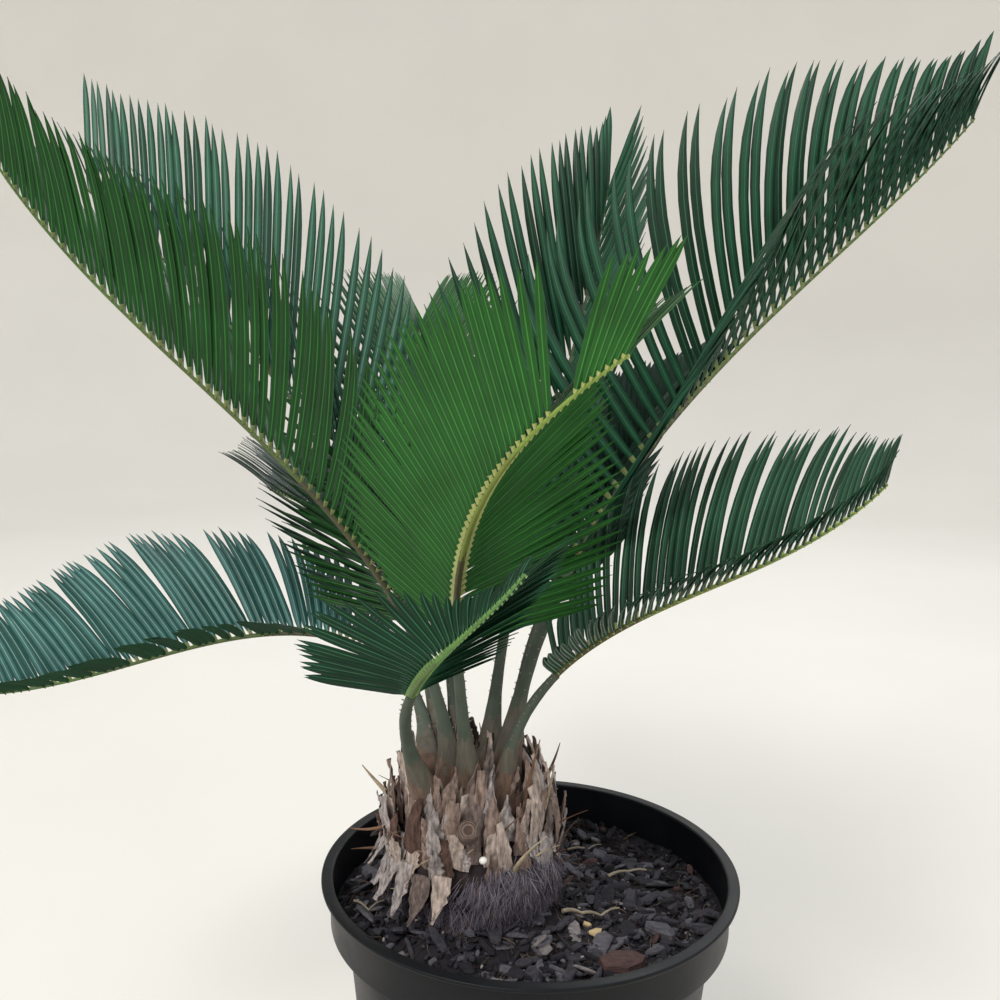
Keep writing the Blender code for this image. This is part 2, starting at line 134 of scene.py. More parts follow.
# Large bark chips: place, length, breadth, thickness, turn (degrees), material slot
BARK_CHIPS = [
    (0.042, -0.050, 0.024, 0.017, 0.006, 20, 3),
    (0.053, 0.006, 0.022, 0.009, 0.005, 78, 0),
    (0.064, -0.022, 0.020, 0.010, 0.005, -30, 1),
    (0.040, 0.052, 0.018, 0.010, 0.004, 10, 0),
    (0.004, -0.074, 0.020, 0.010, 0.004, 8, 1),
    (-0.040, -0.073, 0.017, 0.009, 0.005, -28, 0),
    (0.010, 0.072, 0.016, 0.009, 0.004, -8, 1),
    (-0.044, 0.074, 0.016, 0.008, 0.004, 30, 0),
]

# Flecks of bare wood: place, length, breadth, turn (degrees)
WOOD_FLECKS = [
    (0.032, -0.026, 0.0075, 0.0050, 30),
    (0.028, -0.020, 0.0050, 0.0034, -20),
    (-0.012, -0.070, 0.0060, 0.0028, 12),
    (0.000, -0.078, 0.0055, 0.0022, -24),
    (0.006, -0.080, 0.0050, 0.0042, 60),
]

# Twigs: radius and path
TWIGS = [
    (0.0011, ((0.016, -0.020), (0.026, -0.014), (0.036, -0.012), (0.046, -0.004))),
    (0.0007, ((-0.088, -0.012), (-0.080, -0.018), (-0.073, -0.014))),
    (0.0010, ((0.044, 0.030), (0.056, 0.036), (0.068, 0.034))),
    (0.0007, ((0.024, 0.060), (0.036, 0.062), (0.044, 0.068))),
    (0.0007, ((-0.070, 0.044), (-0.062, 0.054), (-0.052, 0.058))),
]

# A chip's rings: height as a share of its thickness, spread as a share of its breadth
CHIP_LEVELS = ((-0.5, 0.80), (-0.15, 1.0), (0.25, 0.95), (0.5, 0.62))
CHIP_CLEARANCE = 0.0004

# Dry stubs of old petioles: bearing, height of root, length, lean, sideways bend, radius
STUBS = [
    (184, 0.193, 0.031, 40, 8, 0.0016),
    (190, 0.187, 0.024, 96, -14, 0.0012),
    (180, 0.170, 0.020, 88, 26, 0.0010),
    (-28, 0.190, 0.037, 15, -8, 0.0014),
    (-60, 0.176, 0.033, 34, 34, 0.0013),
    (-42, 0.196, 0.044, 10, 10, 0.0014),
    (36, 0.186, 0.034, 36, 8, 0.0014),
    (128, 0.186, 0.036, 40, -10, 0.0014),
    (84, 0.190, 0.032, 22, 12, 0.0013),
]

# Grey sheets of old leaf base that hang over the wool: bearing, height of root, length,
# breadth, lean
HANGING = [
    (166, 0.190, 0.024, 0.0080, 150), (182, 0.182, 0.022, 0.0065, 158),
    (196, 0.192, 0.027, 0.0085, 154), (208, 0.184, 0.024, 0.0075, 162),
    (220, 0.190, 0.022, 0.0080, 156), (232, 0.186, 0.018, 0.0070, 160),
    (248, 0.194, 0.016, 0.0075, 158), (268, 0.190, 0.010, 0.0060, 160),
    (214, 0.178, 0.022, 0.0080, 160), (228, 0.180, 0.026, 0.0085, 162),
    (241, 0.176, 0.024, 0.0085, 164), (254, 0.178, 0.022, 0.0080, 162),
    (292, 0.193, 0.014, 0.0065, 162), (318, 0.192, 0.017, 0.0080, 158),
    (338, 0.188, 0.015, 0.0070, 160), (8, 0.188, 0.017, 0.0075, 156),
    (34, 0.188, 0.018, 0.0080, 158), (66, 0.188, 0.019, 0.0075, 156),
    (98, 0.189, 0.018, 0.0080, 160), (130, 0.188, 0.021, 0.0075, 156),
]

# Cut end of an old petiole: radius, place along its axis, and material (side, rim or pith)
CUT_STUB = [
    (0.0056, 0.0, 0), (0.0050, 0.8, 0), (0.0048, 0.97, 0), (0.0046, 1.0, 1), (0.0041, 1.01, 2),
    (0.0036, 0.99, 1), (0.0031, 0.965, 2), (0.0022, 0.975, 1), (0.0014, 0.955, 2),
    (0.0005, 0.95, 2),
]

# Colours of small things, 0 to 255
BARK_TONES = [(58, 56, 62), (86, 84, 90), (36, 34, 40), (78, 58, 56), (124, 118, 118)]
FIBRE_TONES = [(70, 58, 50), (108, 92, 78), (52, 34, 28)]
SCALE_TONES = [(172, 156, 147), (134, 115, 106), (156, 147, 145), (84, 64, 57), (112, 98, 93)]
STUB_TONES = [(172, 156, 132), (120, 92, 74), (88, 58, 46)]
HAIR_TONES = [(108, 100, 114), (76, 70, 82), (138, 132, 140), (96, 76, 66)]

# Petioles and ribs: the CAD model's measures, then how much thicker the stalks are in the scene,
# over their length and at the foot, and how their meshes are cut
PETIOLE_FOOT_RADIUS = 0.0040
PETIOLE_END_RADIUS = 0.0022
PETIOLE_TAPER_END = 0.7
PATH_STEPS = 60
RIB_WIDTH = (0.0036, 0.0012)
RIB_DEPTH = (0.0030, 0.0012)
STALK_SWELL = 0.26
FOOT_SWELL = 0.95
PETIOLE_STEPS = 46
PETIOLE_SIDES = 16
SUNK_RINGS = 4
SUNK_STEP = 0.0016
PRICKLES = 14
PRICKLE_LENGTH = (0.0006, 0.0013)
PRICKLE_RADII = (0.00045, 0.00012)
RIB_STEPS = 60
RIB_SIDES = 12

# Leaflets: the CAD model's rule, then their section (place across, height as a share of the
# crown, depth as a share of the thickness) and its stations along them
LEAFLET_CURL = 7.0
LEAFLET_ROOT_SHARE = 0.80
LEAFLET_TIP_SHARE = 0.58
LEAFLET_FULL_FROM = 0.2
LEAFLET_SHORTENS_FROM = 0.35
SPLAY_POWER = 0.9
VEE_SETTLES_AT = 0.5
LEAFLET_THICKNESS = 0.00045
LEAFLET_CROWN = 0.42
SECTION = (
    (-1.0, 0.0, 0), (-0.60, 0.60, 0), (-0.07, 1.0, 0), (0.07, 1.0, 0), (0.60, 0.60, 0),
    (1.0, 0.0, 0), (0.66, 0.62, 1), (0.12, 0.94, 2), (-0.12, 0.94, 2), (-0.66, 0.62, 1),
)
STATIONS = (0.0, 0.035, 0.08, 0.15, 0.27, 0.40, 0.53, 0.66, 0.76, 0.85, 0.915, 0.96, 0.988, 1.0)
ROOT_SLOT = 4

# How a row of leaflets differs from the frond's plain rule: twist of the blades (root, tip),
# degrees added to splay (at even places along it), degrees added to vee, bend of its own, painted
# shade, the stretch without leaflets, and length at even places. A row in painted shade shows the
# darker blade colour all over; a sparse one has leaflets missing, of uneven length, and is painted
# in shade, mostly in the under side's darker colour
PAINTED_SHADE, SPARSE_PAINTED_SHADE = 1, 2
SPARSE_MISSING = 0.30
ROW = dict(twist=(0, 0), lean=(0, 0), fold=0, bend=None, shade=0, gap=(1, 1), reach=(1, 1))

# Each frond: seat, length and the petiole's share of it, then heading, rise and roll in degrees
# by the CAD model's rule; leaflets' length, splay, vee, pairs, crowding to the root (1 = even),
# width, forward bend, sag and looseness in degrees, how many lean together (from, to) and by how
# much; colours of leaflets and rib; and its left and right rows
FROND_FIELDS = (
    "seat", "length", "petiole", "heading", "rise", "roll", "leaflet", "splay", "vee", "pairs",
    "crowd", "width", "bend", "sag", "loose", "bunch", "leaf", "rib", "left", "right",
)
FRONDS = {
    "front_left": (
        (-0.041, -0.006), 0.380, 0.25, (-170, -179, -148), (94, 46, 60), (58, 0),
        0.099, (78, 38), (0, 43), 52, 1.12, 0.0047, 8, 8, 0.7, (2, 5, 0.16), "mid", "olive",
        dict(reach=(1, 1, 1, 1, 0.90)), dict(twist=(-10, -20)),
    ),
    "back_left": (
        (-0.044, 0.012), 0.424, 0.28, (102, 157, 152), (66, 49, 35), (-12, -14),
        0.127, (50, 46), (42, 56), 39, 1.0, 0.0053, 6, 4, 0.5, (2, 4, 0.12), "blue", "dark",
        dict(twist=(25, 25), fold=28, reach=(0.85, 0.72, 0.62, 0.60, 0.55)),
        dict(reach=(1, 1.05, 1.08, 1.13, 1.10)),
    ),
    "front_centre": (
        (-0.030, -0.011), 0.271, 0.35, (-114, -79, -13), (81, 56, 35), (-14, -20),
        0.084, (88, 50), (27, 47), 50, 1.0, 0.0042, 4, 5, 0.5, (3, 6, 0.16), "bright", "yellow",
        # the left row is painted in shade: the darker blade colour all over
        dict(twist=(10, 36), lean=(0, -14), shade=PAINTED_SHADE, reach=(1, 1, 1, 1, 0.85)),
        dict(twist=(20, 4), lean=(0, 0, 0, 0, -2, -3, 2, -16, -14), gap=(0.795, 0.86)),
    ),
    "back_right": (
        (-0.022, 0.017), 0.359, 0.28, (70, 63, 59), (84, 58, 76), (9, 21),
        0.122, (64, 33), (33, 55), 29, 1.3, 0.0052, 12, 4, 0.5, (2, 3, 0.10), "teal", "dark",
        dict(twist=(36, 46), lean=(0, 0, -3, -9, -18), reach=(1, 1.04, 1.12, 1.12, 0.76)),
        dict(twist=(14, 18), lean=(-34, -26, -14, -4, 0), reach=(1, 1, 1, 0.98, 0.8)),
    ),
    "right_high": (
        (-0.014, 0.002), 0.488, 0.26, (26, 25, 27), (87, 43, 44), (22, 14),
        0.120, (88, 32), (46, 74), 46, 1.02, 0.0056, 36, 4, 0.4, (2, 2, 0.50), "teal", "olive",
        dict(twist=(14, 22), lean=(-12, -3, 0, 2, 4), reach=(1.04, 1.10, 1.14, 1.04, 0.80)),
        dict(twist=(10, 18), lean=(-42, -20, -6, -2, 4), reach=(1, 1, 1, 0.95, 0.80)),
    ),
    "right_back": (
        (-0.011, 0.015), 0.294, 0.32, (74, 50, 37), (80, 42, 35), (0, 0),
        0.080, (78, 40), (22, 52), 40, 1.0, 0.0066, 18, 8, 0.7, (2, 4, 0.1), "deep", "dark",
        dict(twist=(10, 10), lean=(-24, -12)), dict(twist=(30, 30), lean=(-24, -12)),
    ),
    "right_low": (
        (-0.012, -0.010), 0.251, 0.30, (-14, -17, -24), (100, 31, 51), (16, 5),
        0.102, (82, 68), (28, 27), 46, 1.0, 0.0041, 16, 8, 0.8, (3, 6, 0.30), "moss", "yellow",
        dict(lean=(0, 0, -2, -8, -18), reach=(1, 1, 1.04, 1.0, 0.44)),
        dict(
            twist=(20, 34), lean=(-2, -6, -8, -8, -14), bend=8,
            reach=(0.56, 0.62, 0.56, 0.50, 0.44),
        ),
    ),
    "left_low": (
        (-0.055, 0.004), 0.300, 0.28, (70, 192, 186), (76, -3, 2), (-6, -24),
        0.080, (89, 72), (12, 40), 58, 1.0, 0.0045, 12, 8, 0.7, (2, 9, 0.24), "pale", "olive",
        # the left row is sparse and painted in shade, mostly in the under side's darker colour
        dict(
            twist=(-20, -20), lean=(-4, -8, -12, -14, -16), fold=14, bend=24, shade=SPARSE_PAINTED_SHADE,
            reach=(0.42, 0.46, 0.50, 0.52, 0.56),
        ),
        dict(lean=(-14, 0)),
    ),
    "front_low": (
        (-0.049, -0.017), 0.204, 0.45, (-143, -65, -63), (70, 41, 40), (0, -21),
        0.057, (96, 48), (14, 24), 38, 1.5, 0.0034, 14, 10, 0.9, (2, 4, 0.30), "sea", "fresh",
        dict(twist=(-20, -25), lean=(-34, -22), reach=(0.9, 0.85, 0.8, 0.8, 0.8)),
        dict(twist=(44, 10), lean=(18, 0, -34, -38, -34), reach=(1.05, 0.96, 0.50, 0.42, 0.40)),
    ),
    "back_high": (
        (-0.034, 0.024), 0.380, 0.28, (120, 100, 92), (74, 40, 20), (0, 0),
        0.110, (80, 38), (20, 52), 44, 1.0, 0.0058, 14, 10, 0.7, (2, 5, 0.12), "mid", "olive",
        dict(twist=(10, 10)), dict(twist=(10, 10)),
    ),
    "back_low": (
        (-0.046, 0.024), 0.300, 0.30, (110, 122, 132), (72, 20, 6), (0, 0),
        0.090, (82, 45), (20, 45), 42, 1.0, 0.0046, 16, 12, 0.8, (2, 5, 0.25), "deep", "olive",
        dict(twist=(10, 10)), dict(twist=(10, 10)),
    ),
}

# Parts of a leaflet: name, roughness, specular level
LEAF_PARTS = (
    ("a", 0.44, 0.32), ("b", 0.44, 0.32), ("midrib", 0.5, 0.3), ("under_shaded", 0.72, 0.12)
)

# Leaf colours, 0 to 255: blade, other blade (a darker tone, also used as painted shade), midrib,
# under side (its own colour, darkened as painted shade)
LEAVES = {
    "bright": ((50, 115, 46), (31, 82, 30), (58, 122, 54), (40, 88, 38)),
    "mid": ((33, 91, 37), (18, 64, 22), (46, 102, 46), (30, 70, 32)),
    "teal": ((25, 78, 53), (12, 52, 33), (62, 108, 80), (14, 48, 30)),
    "blue": ((40, 92, 70), (22, 64, 46), (74, 122, 98), (34, 76, 60)),
    "pale": ((60, 106, 102), (36, 80, 74), (130, 164, 158), (30, 66, 42)),
    "sea": ((26, 76, 52), (12, 50, 32), (60, 104, 78), (24, 64, 42)),
    "moss": ((30, 74, 50), (14, 48, 30), (84, 120, 94), (26, 58, 40)),
    "deep": ((14, 54, 34), (10, 46, 28), (30, 70, 48), (14, 44, 28)),
}

# Rib colours, 0 to 255: near the petiole, in the middle, at the tip; and the leaflets' roots
RIB_PARTS = ("low", "mid", "tip", "root")
RIBS = {
    "olive": ((70, 68, 42), (80, 98, 46), (76, 108, 46), (118, 130, 78)),
    "dark": ((62, 66, 44), (54, 78, 46), (48, 80, 48), (84, 104, 70)),
    "yellow": ((80, 76, 42), (118, 132, 56), (124, 150, 62), (158, 166, 98)),
    "fresh": ((86, 112, 56), (92, 134, 66), (96, 142, 72), (128, 162, 98)),
}


def blend(start, end, share):
    return start + (end - start) * share


def ease(low, high, value):
    share = min(max((value - low) / (high - low), 0.0), 1.0)
    return share * share * (3.0 - 2.0 * share)


def through(values, share):
    """A smooth curve through three values at shares 0, 0.5 and 1."""
    root, middle, tip = values
    return (
        root * (1 - share) * (1 - 2 * share)
        + 4 * middle * share * (1 - share)
        + tip * share * (2 * share - 1)
    )


def along_row(values, part):
    """A value given at even places along a row, read between them."""
    place = min(max(part, 0.0), 0.9999) * (len(values) - 1)
    index = int(place)
    return blend(values[index], values[index + 1], place - index)


def linear(colour):
    """Linear colour from 0 to 255 screen values."""
    parts = []
    for value in colour:
        value = value / 255
        parts.append(value / 12.92 if value <= 0.04045 else ((value + 0.055) / 1.055) ** 2.4)
    return parts


def around(angle):
    return Vector((cos(angle), sin(angle), 0.0))


def turned(start, toward, angle):
    """The direction start turned by angle to the direction toward, which is square to it."""
    return start * cos(angle) + toward * sin(angle)


def wave(x, y, z):
    return noise.noise(Vector((x, y, z)))


def circle(radius, height, steps):
    return [around(TURN * k / steps) * radius + UP * height for k in range(steps)]


def pick(rng, *weights):
    """A number from 0 up, drawn by weight."""
    return rng.choices(range(len(weights)), weights)[0]


# ---------------------------------------------------------------- materials


def set_inputs(node, values):
    for socket, value in values.items():
        node.inputs[socket].default_value = value
    return node


def add_noise(tree, place, scale, detail):
    node = tree.nodes.new("ShaderNodeTexNoise")
    set_inputs(node, {"Scale": scale, "Detail": detail})
    tree.links.new(place, node.inputs["Vector"])
    return node.outputs["Fac"]


def finish(
    name, colour, shift=0.12, scale=60.0, detail=6.0, rough=0.6, rough_shift=0.08,
    bump=0.15, grain=300.0, stretch=(1, 1, 1), spec=0.5, sheen=0.0,
):
    """A material with mottled colour and roughness and a fine relief, all from noise."""
    mat = bpy.data.materials.new(name)
    mat.use_nodes = True
    tree = mat.node_tree
    nodes, links = tree.nodes, tree.links
    shader = nodes["Principled BSDF"]
    set_inputs(shader, {"Metallic": 0.0, "Specular IOR Level": spec, "Sheen Weight": sheen})
    place = nodes.new("ShaderNodeTexCoord")
    mapping = set_inputs(nodes.new("ShaderNodeMapping"), {"Scale": stretch})
    links.new(place.outputs["Object"], mapping.inputs["Vector"])

    mottle = add_noise(tree, mapping.outputs["Vector"], scale, detail)
    ramp = nodes.new("ShaderNodeValToRGB")
    ends = ramp.color_ramp.elements
    for end, position, strength in ((ends[0], 0.32, 1 - shift), (ends[1], 0.68, 1 + shift)):
        end.position = position
        end.color = (*[min(part * strength, 1.0) for part in linear(colour)], 1.0)
    links.new(mottle, ramp.inputs["Fac"])
    links.new(ramp.outputs["Color"], shader.inputs["Base Color"])

    spread = set_inputs(nodes.new("ShaderNodeMapRange"), {
        "From Min": 0.3, "From Max": 0.7,
        "To Min": rough - rough_shift, "To Max": min(rough + rough_shift, 1.0),
    })
    links.new(mottle, spread.inputs["Value"])
    links.new(spread.outputs["Result"], shader.inputs["Roughness"])

    relief = set_inputs(nodes.new("ShaderNodeBump"), {"Strength": bump, "Distance": 0.001})
    height = add_noise(tree, mapping.outputs["Vector"], grain, GRAIN_DETAIL)
    links.new(height, relief.inputs["Height"])
    links.new(relief.outputs["Normal"], shader.inputs["Normal"])
    return mat


def finishes(prefix, tones, **looks):
    """A material for each colour, named by the prefix and its number."""
    return [finish(f"{prefix}_{n}", tone, **looks) for n, tone in enumerate(tones)]


# ---------------------------------------------------------------- mesh building


class Shape:
    """Corners, faces and the material slot of each face, gathered for one mesh."""

    def __init__(self):
        self.verts, self.faces, self.slots = [], [], []

    def loft(self, rings, slots, closed=True):
        """Rings joined in turn. Slots is one value, or a list with one for each band, or with a
        list for each band that has one for each face."""
        if not isinstance(slots, list):
            slots = [slots] * (len(rings) - 1)
        rows = [slot if isinstance(slot, list) else [slot] * len(rings[0]) for slot in slots]
        made = []
        for points in rings:
            made.append(range(len(self.verts), len(self.verts) + len(points)))
            self.verts.extend(points)
        for low, high, row in zip(made, made[1:], rows):
            for i in range(len(low)):
                after = (i + 1) % len(low)
                self.faces.append((low[i], low[after], high[after], high[i]))
            self.slots.extend(row)
        for ring, row in ((made[0], rows[0]), (made[-1], rows[-1]))[:2 if closed else 1]:
            self.faces.append(tuple(ring))
            self.slots.append(row[0])

    def thread(self, points, radii, sides, slot):
        """A tapering strand of a few sides along points."""
        rings = []
        for index, spot in enumerate(points):
            ahead = points[min(index + 1, len(points) - 1)]
            behind = points[max(index - 1, 0)]
            along = (ahead - behind).normalized()
            side = along.orthogonal().normalized()
            other = along.cross(side)
            rings.append([
                spot + turned(side, other, TURN * k / sides) * radii[index] for k in range(sides)
            ])
        self.loft(rings, slot)

    def place(self, name, materials, smooth):
        mesh = bpy.data.meshes.new(name)
        mesh.from_pydata(self.verts, [], self.faces)
        for mat in materials:
            mesh.materials.append(mat)
        mesh.polygons.foreach_set("material_index", self.slots)
        mesh.polygons.foreach_set("use_smooth", [smooth] * len(mesh.polygons))
        obj = bpy.data.objects.new(name, mesh)
        bpy.context.scene.collection.objects.link(obj)
        return obj

    def make(self, name, materials, replaces=(), sharp=None):
        """A piece of the frame, smooth up to the angle sharp, or flat without one."""
        obj = self.place(name, materials, sharp is not None)
        mesh = obj.data
        bm = bmesh.new()
        bm.from_mesh(mesh)
        bmesh.ops.recalc_face_normals(bm, faces=bm.faces)
        bm.to_mesh(mesh)
        bm.free()
        if sharp is not None:
            mesh.set_sharp_from_angle(angle=radians(sharp))
        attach(obj, BODY)
        if replaces:
            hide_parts(*replaces)
        return obj


# ---------------------------------------------------------------- pot


def pot_inner_radius(height):
    return blend(POT_BASE_RADIUS, POT_BODY_RADIUS, height / POT_LEDGE) - POT_WALL


def rounded(profile, radius, steps=3):
    """An outline's inner corners cut round; its two end points only give the direction."""
    out = []
    for before, corner, after in zip(profile, profile[1:], profile[2:]):
        spot = Vector(corner)
        back, ahead = Vector(before) - spot, Vector(after) - spot
        reach = min(radius, back.length * 0.4, ahead.length * 0.4)
        start = spot + back.normalized() * reach
        end = spot + ahead.normalized() * reach
        for k in range(steps + 1):
            share = k / steps
            out.append(start.lerp(spot, share).lerp(spot.lerp(end, share), share))
    return out


def make_pot():
    flange = POT_HEIGHT - POT_FLANGE_THICKNESS
    profile = rounded([
        (0.0, POT_WALL),
        (pot_inner_radius(POT_WALL), POT_WALL),
        (POT_BODY_RADIUS - POT_WALL, POT_LEDGE + POT_WALL),
        (POT_COLLAR_RADIUS - POT_WALL, POT_LEDGE + POT_WALL),
        (POT_COLLAR_RADIUS - POT_WALL, POT_HEIGHT),
        (POT_RIM_RADIUS, POT_HEIGHT),
        (POT_RIM_RADIUS, flange),
        (POT_COLLAR_RADIUS, flange),
        (POT_COLLAR_RADIUS, POT_LEDGE),
        (POT_BODY_RADIUS, POT_LEDGE),
        (POT_BASE_RADIUS, POT_FOOT_BEVEL),
        (POT_BASE_RADIUS - POT_FOOT_BEVEL, 0.0),
        (0.0, 0.0),
    ], POT_ROUNDING)
    shape = Shape()
    shape.loft([circle(radius, height, POT_STEPS) for radius, height in profile], 0)
    plastic = finish(
        "pot_plastic_satin", (11, 14, 19), shift=0.3, scale=28.0, rough=0.45, rough_shift=0.10,
        bump=0.06, grain=700.0, spec=0.22,
    )
    shape.make("pot_shell", [plastic], ["pot"], sharp=40)


# ---------------------------------------------------------------- mulch


def mulch_height(flat):
    """Height of the smooth mulch, which mounds up to the trunk, over a spot at no height."""
    distance = (flat - TRUNK_AXIS).length - TRUNK_FOOT_RADIUS
    return MULCH_LEVEL + MULCH_MOUND * (1.0 - ease(0.0, MULCH_MOUND_REACH, distance))


def mulch_surface(spot):
    """Height of the mulch's uneven top."""
    flat = Vector((spot.x, spot.y, 0.0))
    bank = MULCH_BANK * ease(MULCH_BANK_FROM, pot_inner_radius(MULCH_LEVEL), hypot(spot.x, spot.y))
    coarse = noise.noise(flat * 70)
    fine = noise.noise((flat + UP * 0.3) * 210)
    return mulch_height(flat) + bank + MULCH_RELIEF * (coarse + 0.6 * fine) - MULCH_SINK


def on_mulch(x, y, lift):
    spot = Vector((x, y, 0.0))
    spot.z = mulch_surface(spot) + lift
    return spot


def inside_pot(spot, margin):
    return hypot(spot.x, spot.y) < MULCH_EDGE - margin


def scatter_spot(rng, margin, off_trunk):
    """A place on the mulch, clear of the pot by margin and of the trunk's axis by off_trunk."""
    while True:
        radius = MULCH_EDGE * sqrt(rng.random())
        spot = around(rng.uniform(0, TURN)) * radius
        if inside_pot(spot, margin) and (spot - TRUNK_AXIS).length > off_trunk:
            return spot


def squarish(value):
    return copysign(abs(value) ** 0.8, value)


def chip(shape, centre, length, breadth, thickness, basis, rng, slot):
    """An irregular broken flake of bark, thickest in the middle, with a split grain."""
    sides = rng.choice((6, 7, 8))
    outline = []
    for k in range(sides):
        angle = TURN * (k + rng.uniform(-0.28, 0.28)) / sides
        reach = rng.uniform(0.82, 1.10)
        outline.append((squarish(cos(angle)) * reach, squarish(sin(angle)) * reach))
    rings = []
    for height, spread in CHIP_LEVELS:
        ring = []
        for x, y in outline:
            lift = height + rng.uniform(-0.10, 0.10)
            local = Vector((x * spread * length / 2, y * spread * breadth / 2, lift * thickness))
            ring.append(centre + basis @ local)
        rings.append(ring)
    shape.loft(rings, slot)


def tilted(turn, tilt, rng):
    """A turn about the upright, leaned at random by about tilt."""
    lean = Matrix.Rotation(rng.gauss(0, tilt), 3, "X") @ Matrix.Rotation(rng.gauss(0, tilt), 3, "Y")
    return Matrix.Rotation(turn, 3, "Z") @ lean


def make_bed():
    rings = []
    for ring in range(MULCH_RINGS + 1):
        points = []
        for step in range(MULCH_STEPS):
            heading = around(TURN * step / MULCH_STEPS)
            inner = TRUNK_AXIS + heading * (TRUNK_FOOT_RADIUS - BED_UNDER_TRUNK)
            spot = inner.lerp(heading * MULCH_EDGE, ring / MULCH_RINGS)
            points.append(on_mulch(spot.x, spot.y, 0.0))
        rings.append(points)
    ledge, bottom = POT_LEDGE + POT_WALL + GAP, POT_WALL + GAP
    wall = pot_inner_radius(MULCH_LEVEL) - GAP
    for radius, height in (
        (MULCH_EDGE, ledge), (wall, ledge), (wall, MULCH_LEVEL),
        (pot_inner_radius(bottom) - GAP, bottom),
    ):
        rings.append(circle(radius, height, MULCH_STEPS))
    shape = Shape()
    shape.loft(rings, 0)
    earth = finish(
        "mulch_earth", (36, 34, 38), shift=0.5, scale=160.0, rough=0.92, bump=0.9,
        grain=420.0, spec=0.25,
    )
    shape.make("mulch_bed", [earth], ["mulch"], sharp=60)


def make_chips(rng):
    barks = finishes(
        "chip_shade", BARK_TONES, shift=0.35, scale=220.0, rough=0.85, bump=0.7,
        grain=500.0, stretch=(1, 3, 3), spec=0.3,
    )
    large = Shape()
    for x, y, length, breadth, thickness, turn, slot in BARK_CHIPS:
        top = mulch_height(Vector((x, y, 0)))
        centre = Vector((x, y, top + CHIP_CLEARANCE + thickness / 2))
        basis = tilted(radians(turn), 0.05, rng)
        chip(large, centre, length, breadth, thickness, basis, rng, slot)
    piece = large.make("bark_chips_large", barks, [f"bark_chip_{n}" for n in range(1, 9)])

    small = Shape()
    for _ in range(SMALL_CHIPS):
        length = rng.uniform(*SMALL_CHIP_LENGTH) * rng.choice((1.0, 1.0, 1.5))
        breadth = length * rng.uniform(0.18, 0.60)
        thickness = rng.uniform(*SMALL_CHIP_THICKNESS)
        spot = scatter_spot(rng, length * 0.55, TRUNK_FOOT_RADIUS + 0.001)
        spot.z = mulch_surface(spot) + thickness * 0.25 + rng.uniform(0, 0.0026)
        slot = pick(rng, 36, 22, 36, 2, 4)
        basis = tilted(rng.uniform(0, TURN), 0.30, rng)
        chip(small, spot, length, breadth, thickness, basis, rng, slot)
    small.make("bark_chips_small", barks)

    crumbs = Shape()
    for _ in range(CRUMBS):
        size = rng.uniform(*CRUMB_SIZE)
        spot = scatter_spot(rng, 0.002, TRUNK_FOOT_RADIUS - 0.002)
        spot.z = mulch_surface(spot) + rng.uniform(0, 0.0018)
        slot = pick(rng, 35, 12, 53)
        basis = tilted(rng.uniform(0, TURN), 0.6, rng)
        chip(crumbs, spot, size * 1.5, size, size * 0.6, basis, rng, slot)
    crumbs.make("mulch_crumbs", barks)


def make_fibres(rng):
    fibres = Shape()
    steps = 5
    for _ in range(FIBRES):
        place = scatter_spot(rng, 0.006, TRUNK_FOOT_RADIUS - 0.003)
        turn = rng.uniform(0, TURN)
        length = rng.uniform(*FIBRE_LENGTH)
        curl = rng.uniform(-1.6, 1.6)
        points = []
        for k in range(steps + 1):
            share = k / steps
            if not inside_pot(place, 0.001):
                break
            lift = 0.0012 + 0.0022 * sin(share * pi) * rng.random()
            points.append(on_mulch(place.x, place.y, lift))
            place = place + around(turn + curl * share) * length / steps
        if len(points) < 3:
            continue
        radii = [rng.uniform(*FIBRE_RADIUS) * (1 - 0.6 * k / steps) for k in range(len(points))]
        fibres.thread(points, radii, 4, pick(rng, 55, 30, 15))
    mats = finishes(
        "fibre_tone", FIBRE_TONES, shift=0.2, scale=200.0, rough=0.85, bump=0.2, spec=0.3
    )
    fibres.make("mulch_fibres", mats, sharp=60)


def make_flecks(rng):
    """Small white flecks and a few larger ones of bare wood."""
    flecks = Shape()
    for _ in range(WHITE_FLECKS):
        spot = scatter_spot(rng, 0.004, TRUNK_FOOT_RADIUS + 0.002)
        size = rng.uniform(*FLECK_SIZE)
        spot.z = mulch_surface(spot) + 0.0022
        basis = tilted(rng.uniform(0, 6), 0.5, rng)
        chip(flecks, spot, size * 1.6, size, size * 0.6, basis, rng, 0)
    for x, y, length, breadth, turn in WOOD_FLECKS:
        basis = tilted(radians(turn), 0.15, rng)
        chip(flecks, on_mulch(x, y, LITTER_LIFT), length, breadth, 0.0018, basis, rng, 1)
    pale = [
        finish("fleck_white", (160, 156, 150), shift=0.08, scale=400, rough=0.8, bump=0.3),
        finish("fleck_wood", (186, 164, 122), shift=0.12, scale=300, rough=0.7, bump=0.3),
    ]
    flecks.make("mulch_flecks", pale)


def make_twigs():
    twigs = Shape()
    steps = 4
    for radius, path in TWIGS:
        knots = [on_mulch(x, y, LITTER_LIFT) for x, y in path]
        points = []
        for a, b in zip(knots, knots[1:]):
            for k in range(steps):
                bow = UP * 0.0012 * sin(k / steps * pi)
                points.append(a.lerp(b, k / steps) + bow)
        points.append(knots[-1])
        radii = [radius * blend(1.0, 0.45, k / (len(points) - 1)) for k in range(len(points))]
        twigs.thread(points, radii, 7, 0)
    straw = finish(
        "twig_straw", (146, 134, 116), shift=0.3, scale=160, rough=0.75, bump=0.4, grain=500
    )
    twigs.make("mulch_twigs", [straw], sharp=60)


# ---------------------------------------------------------------- trunk


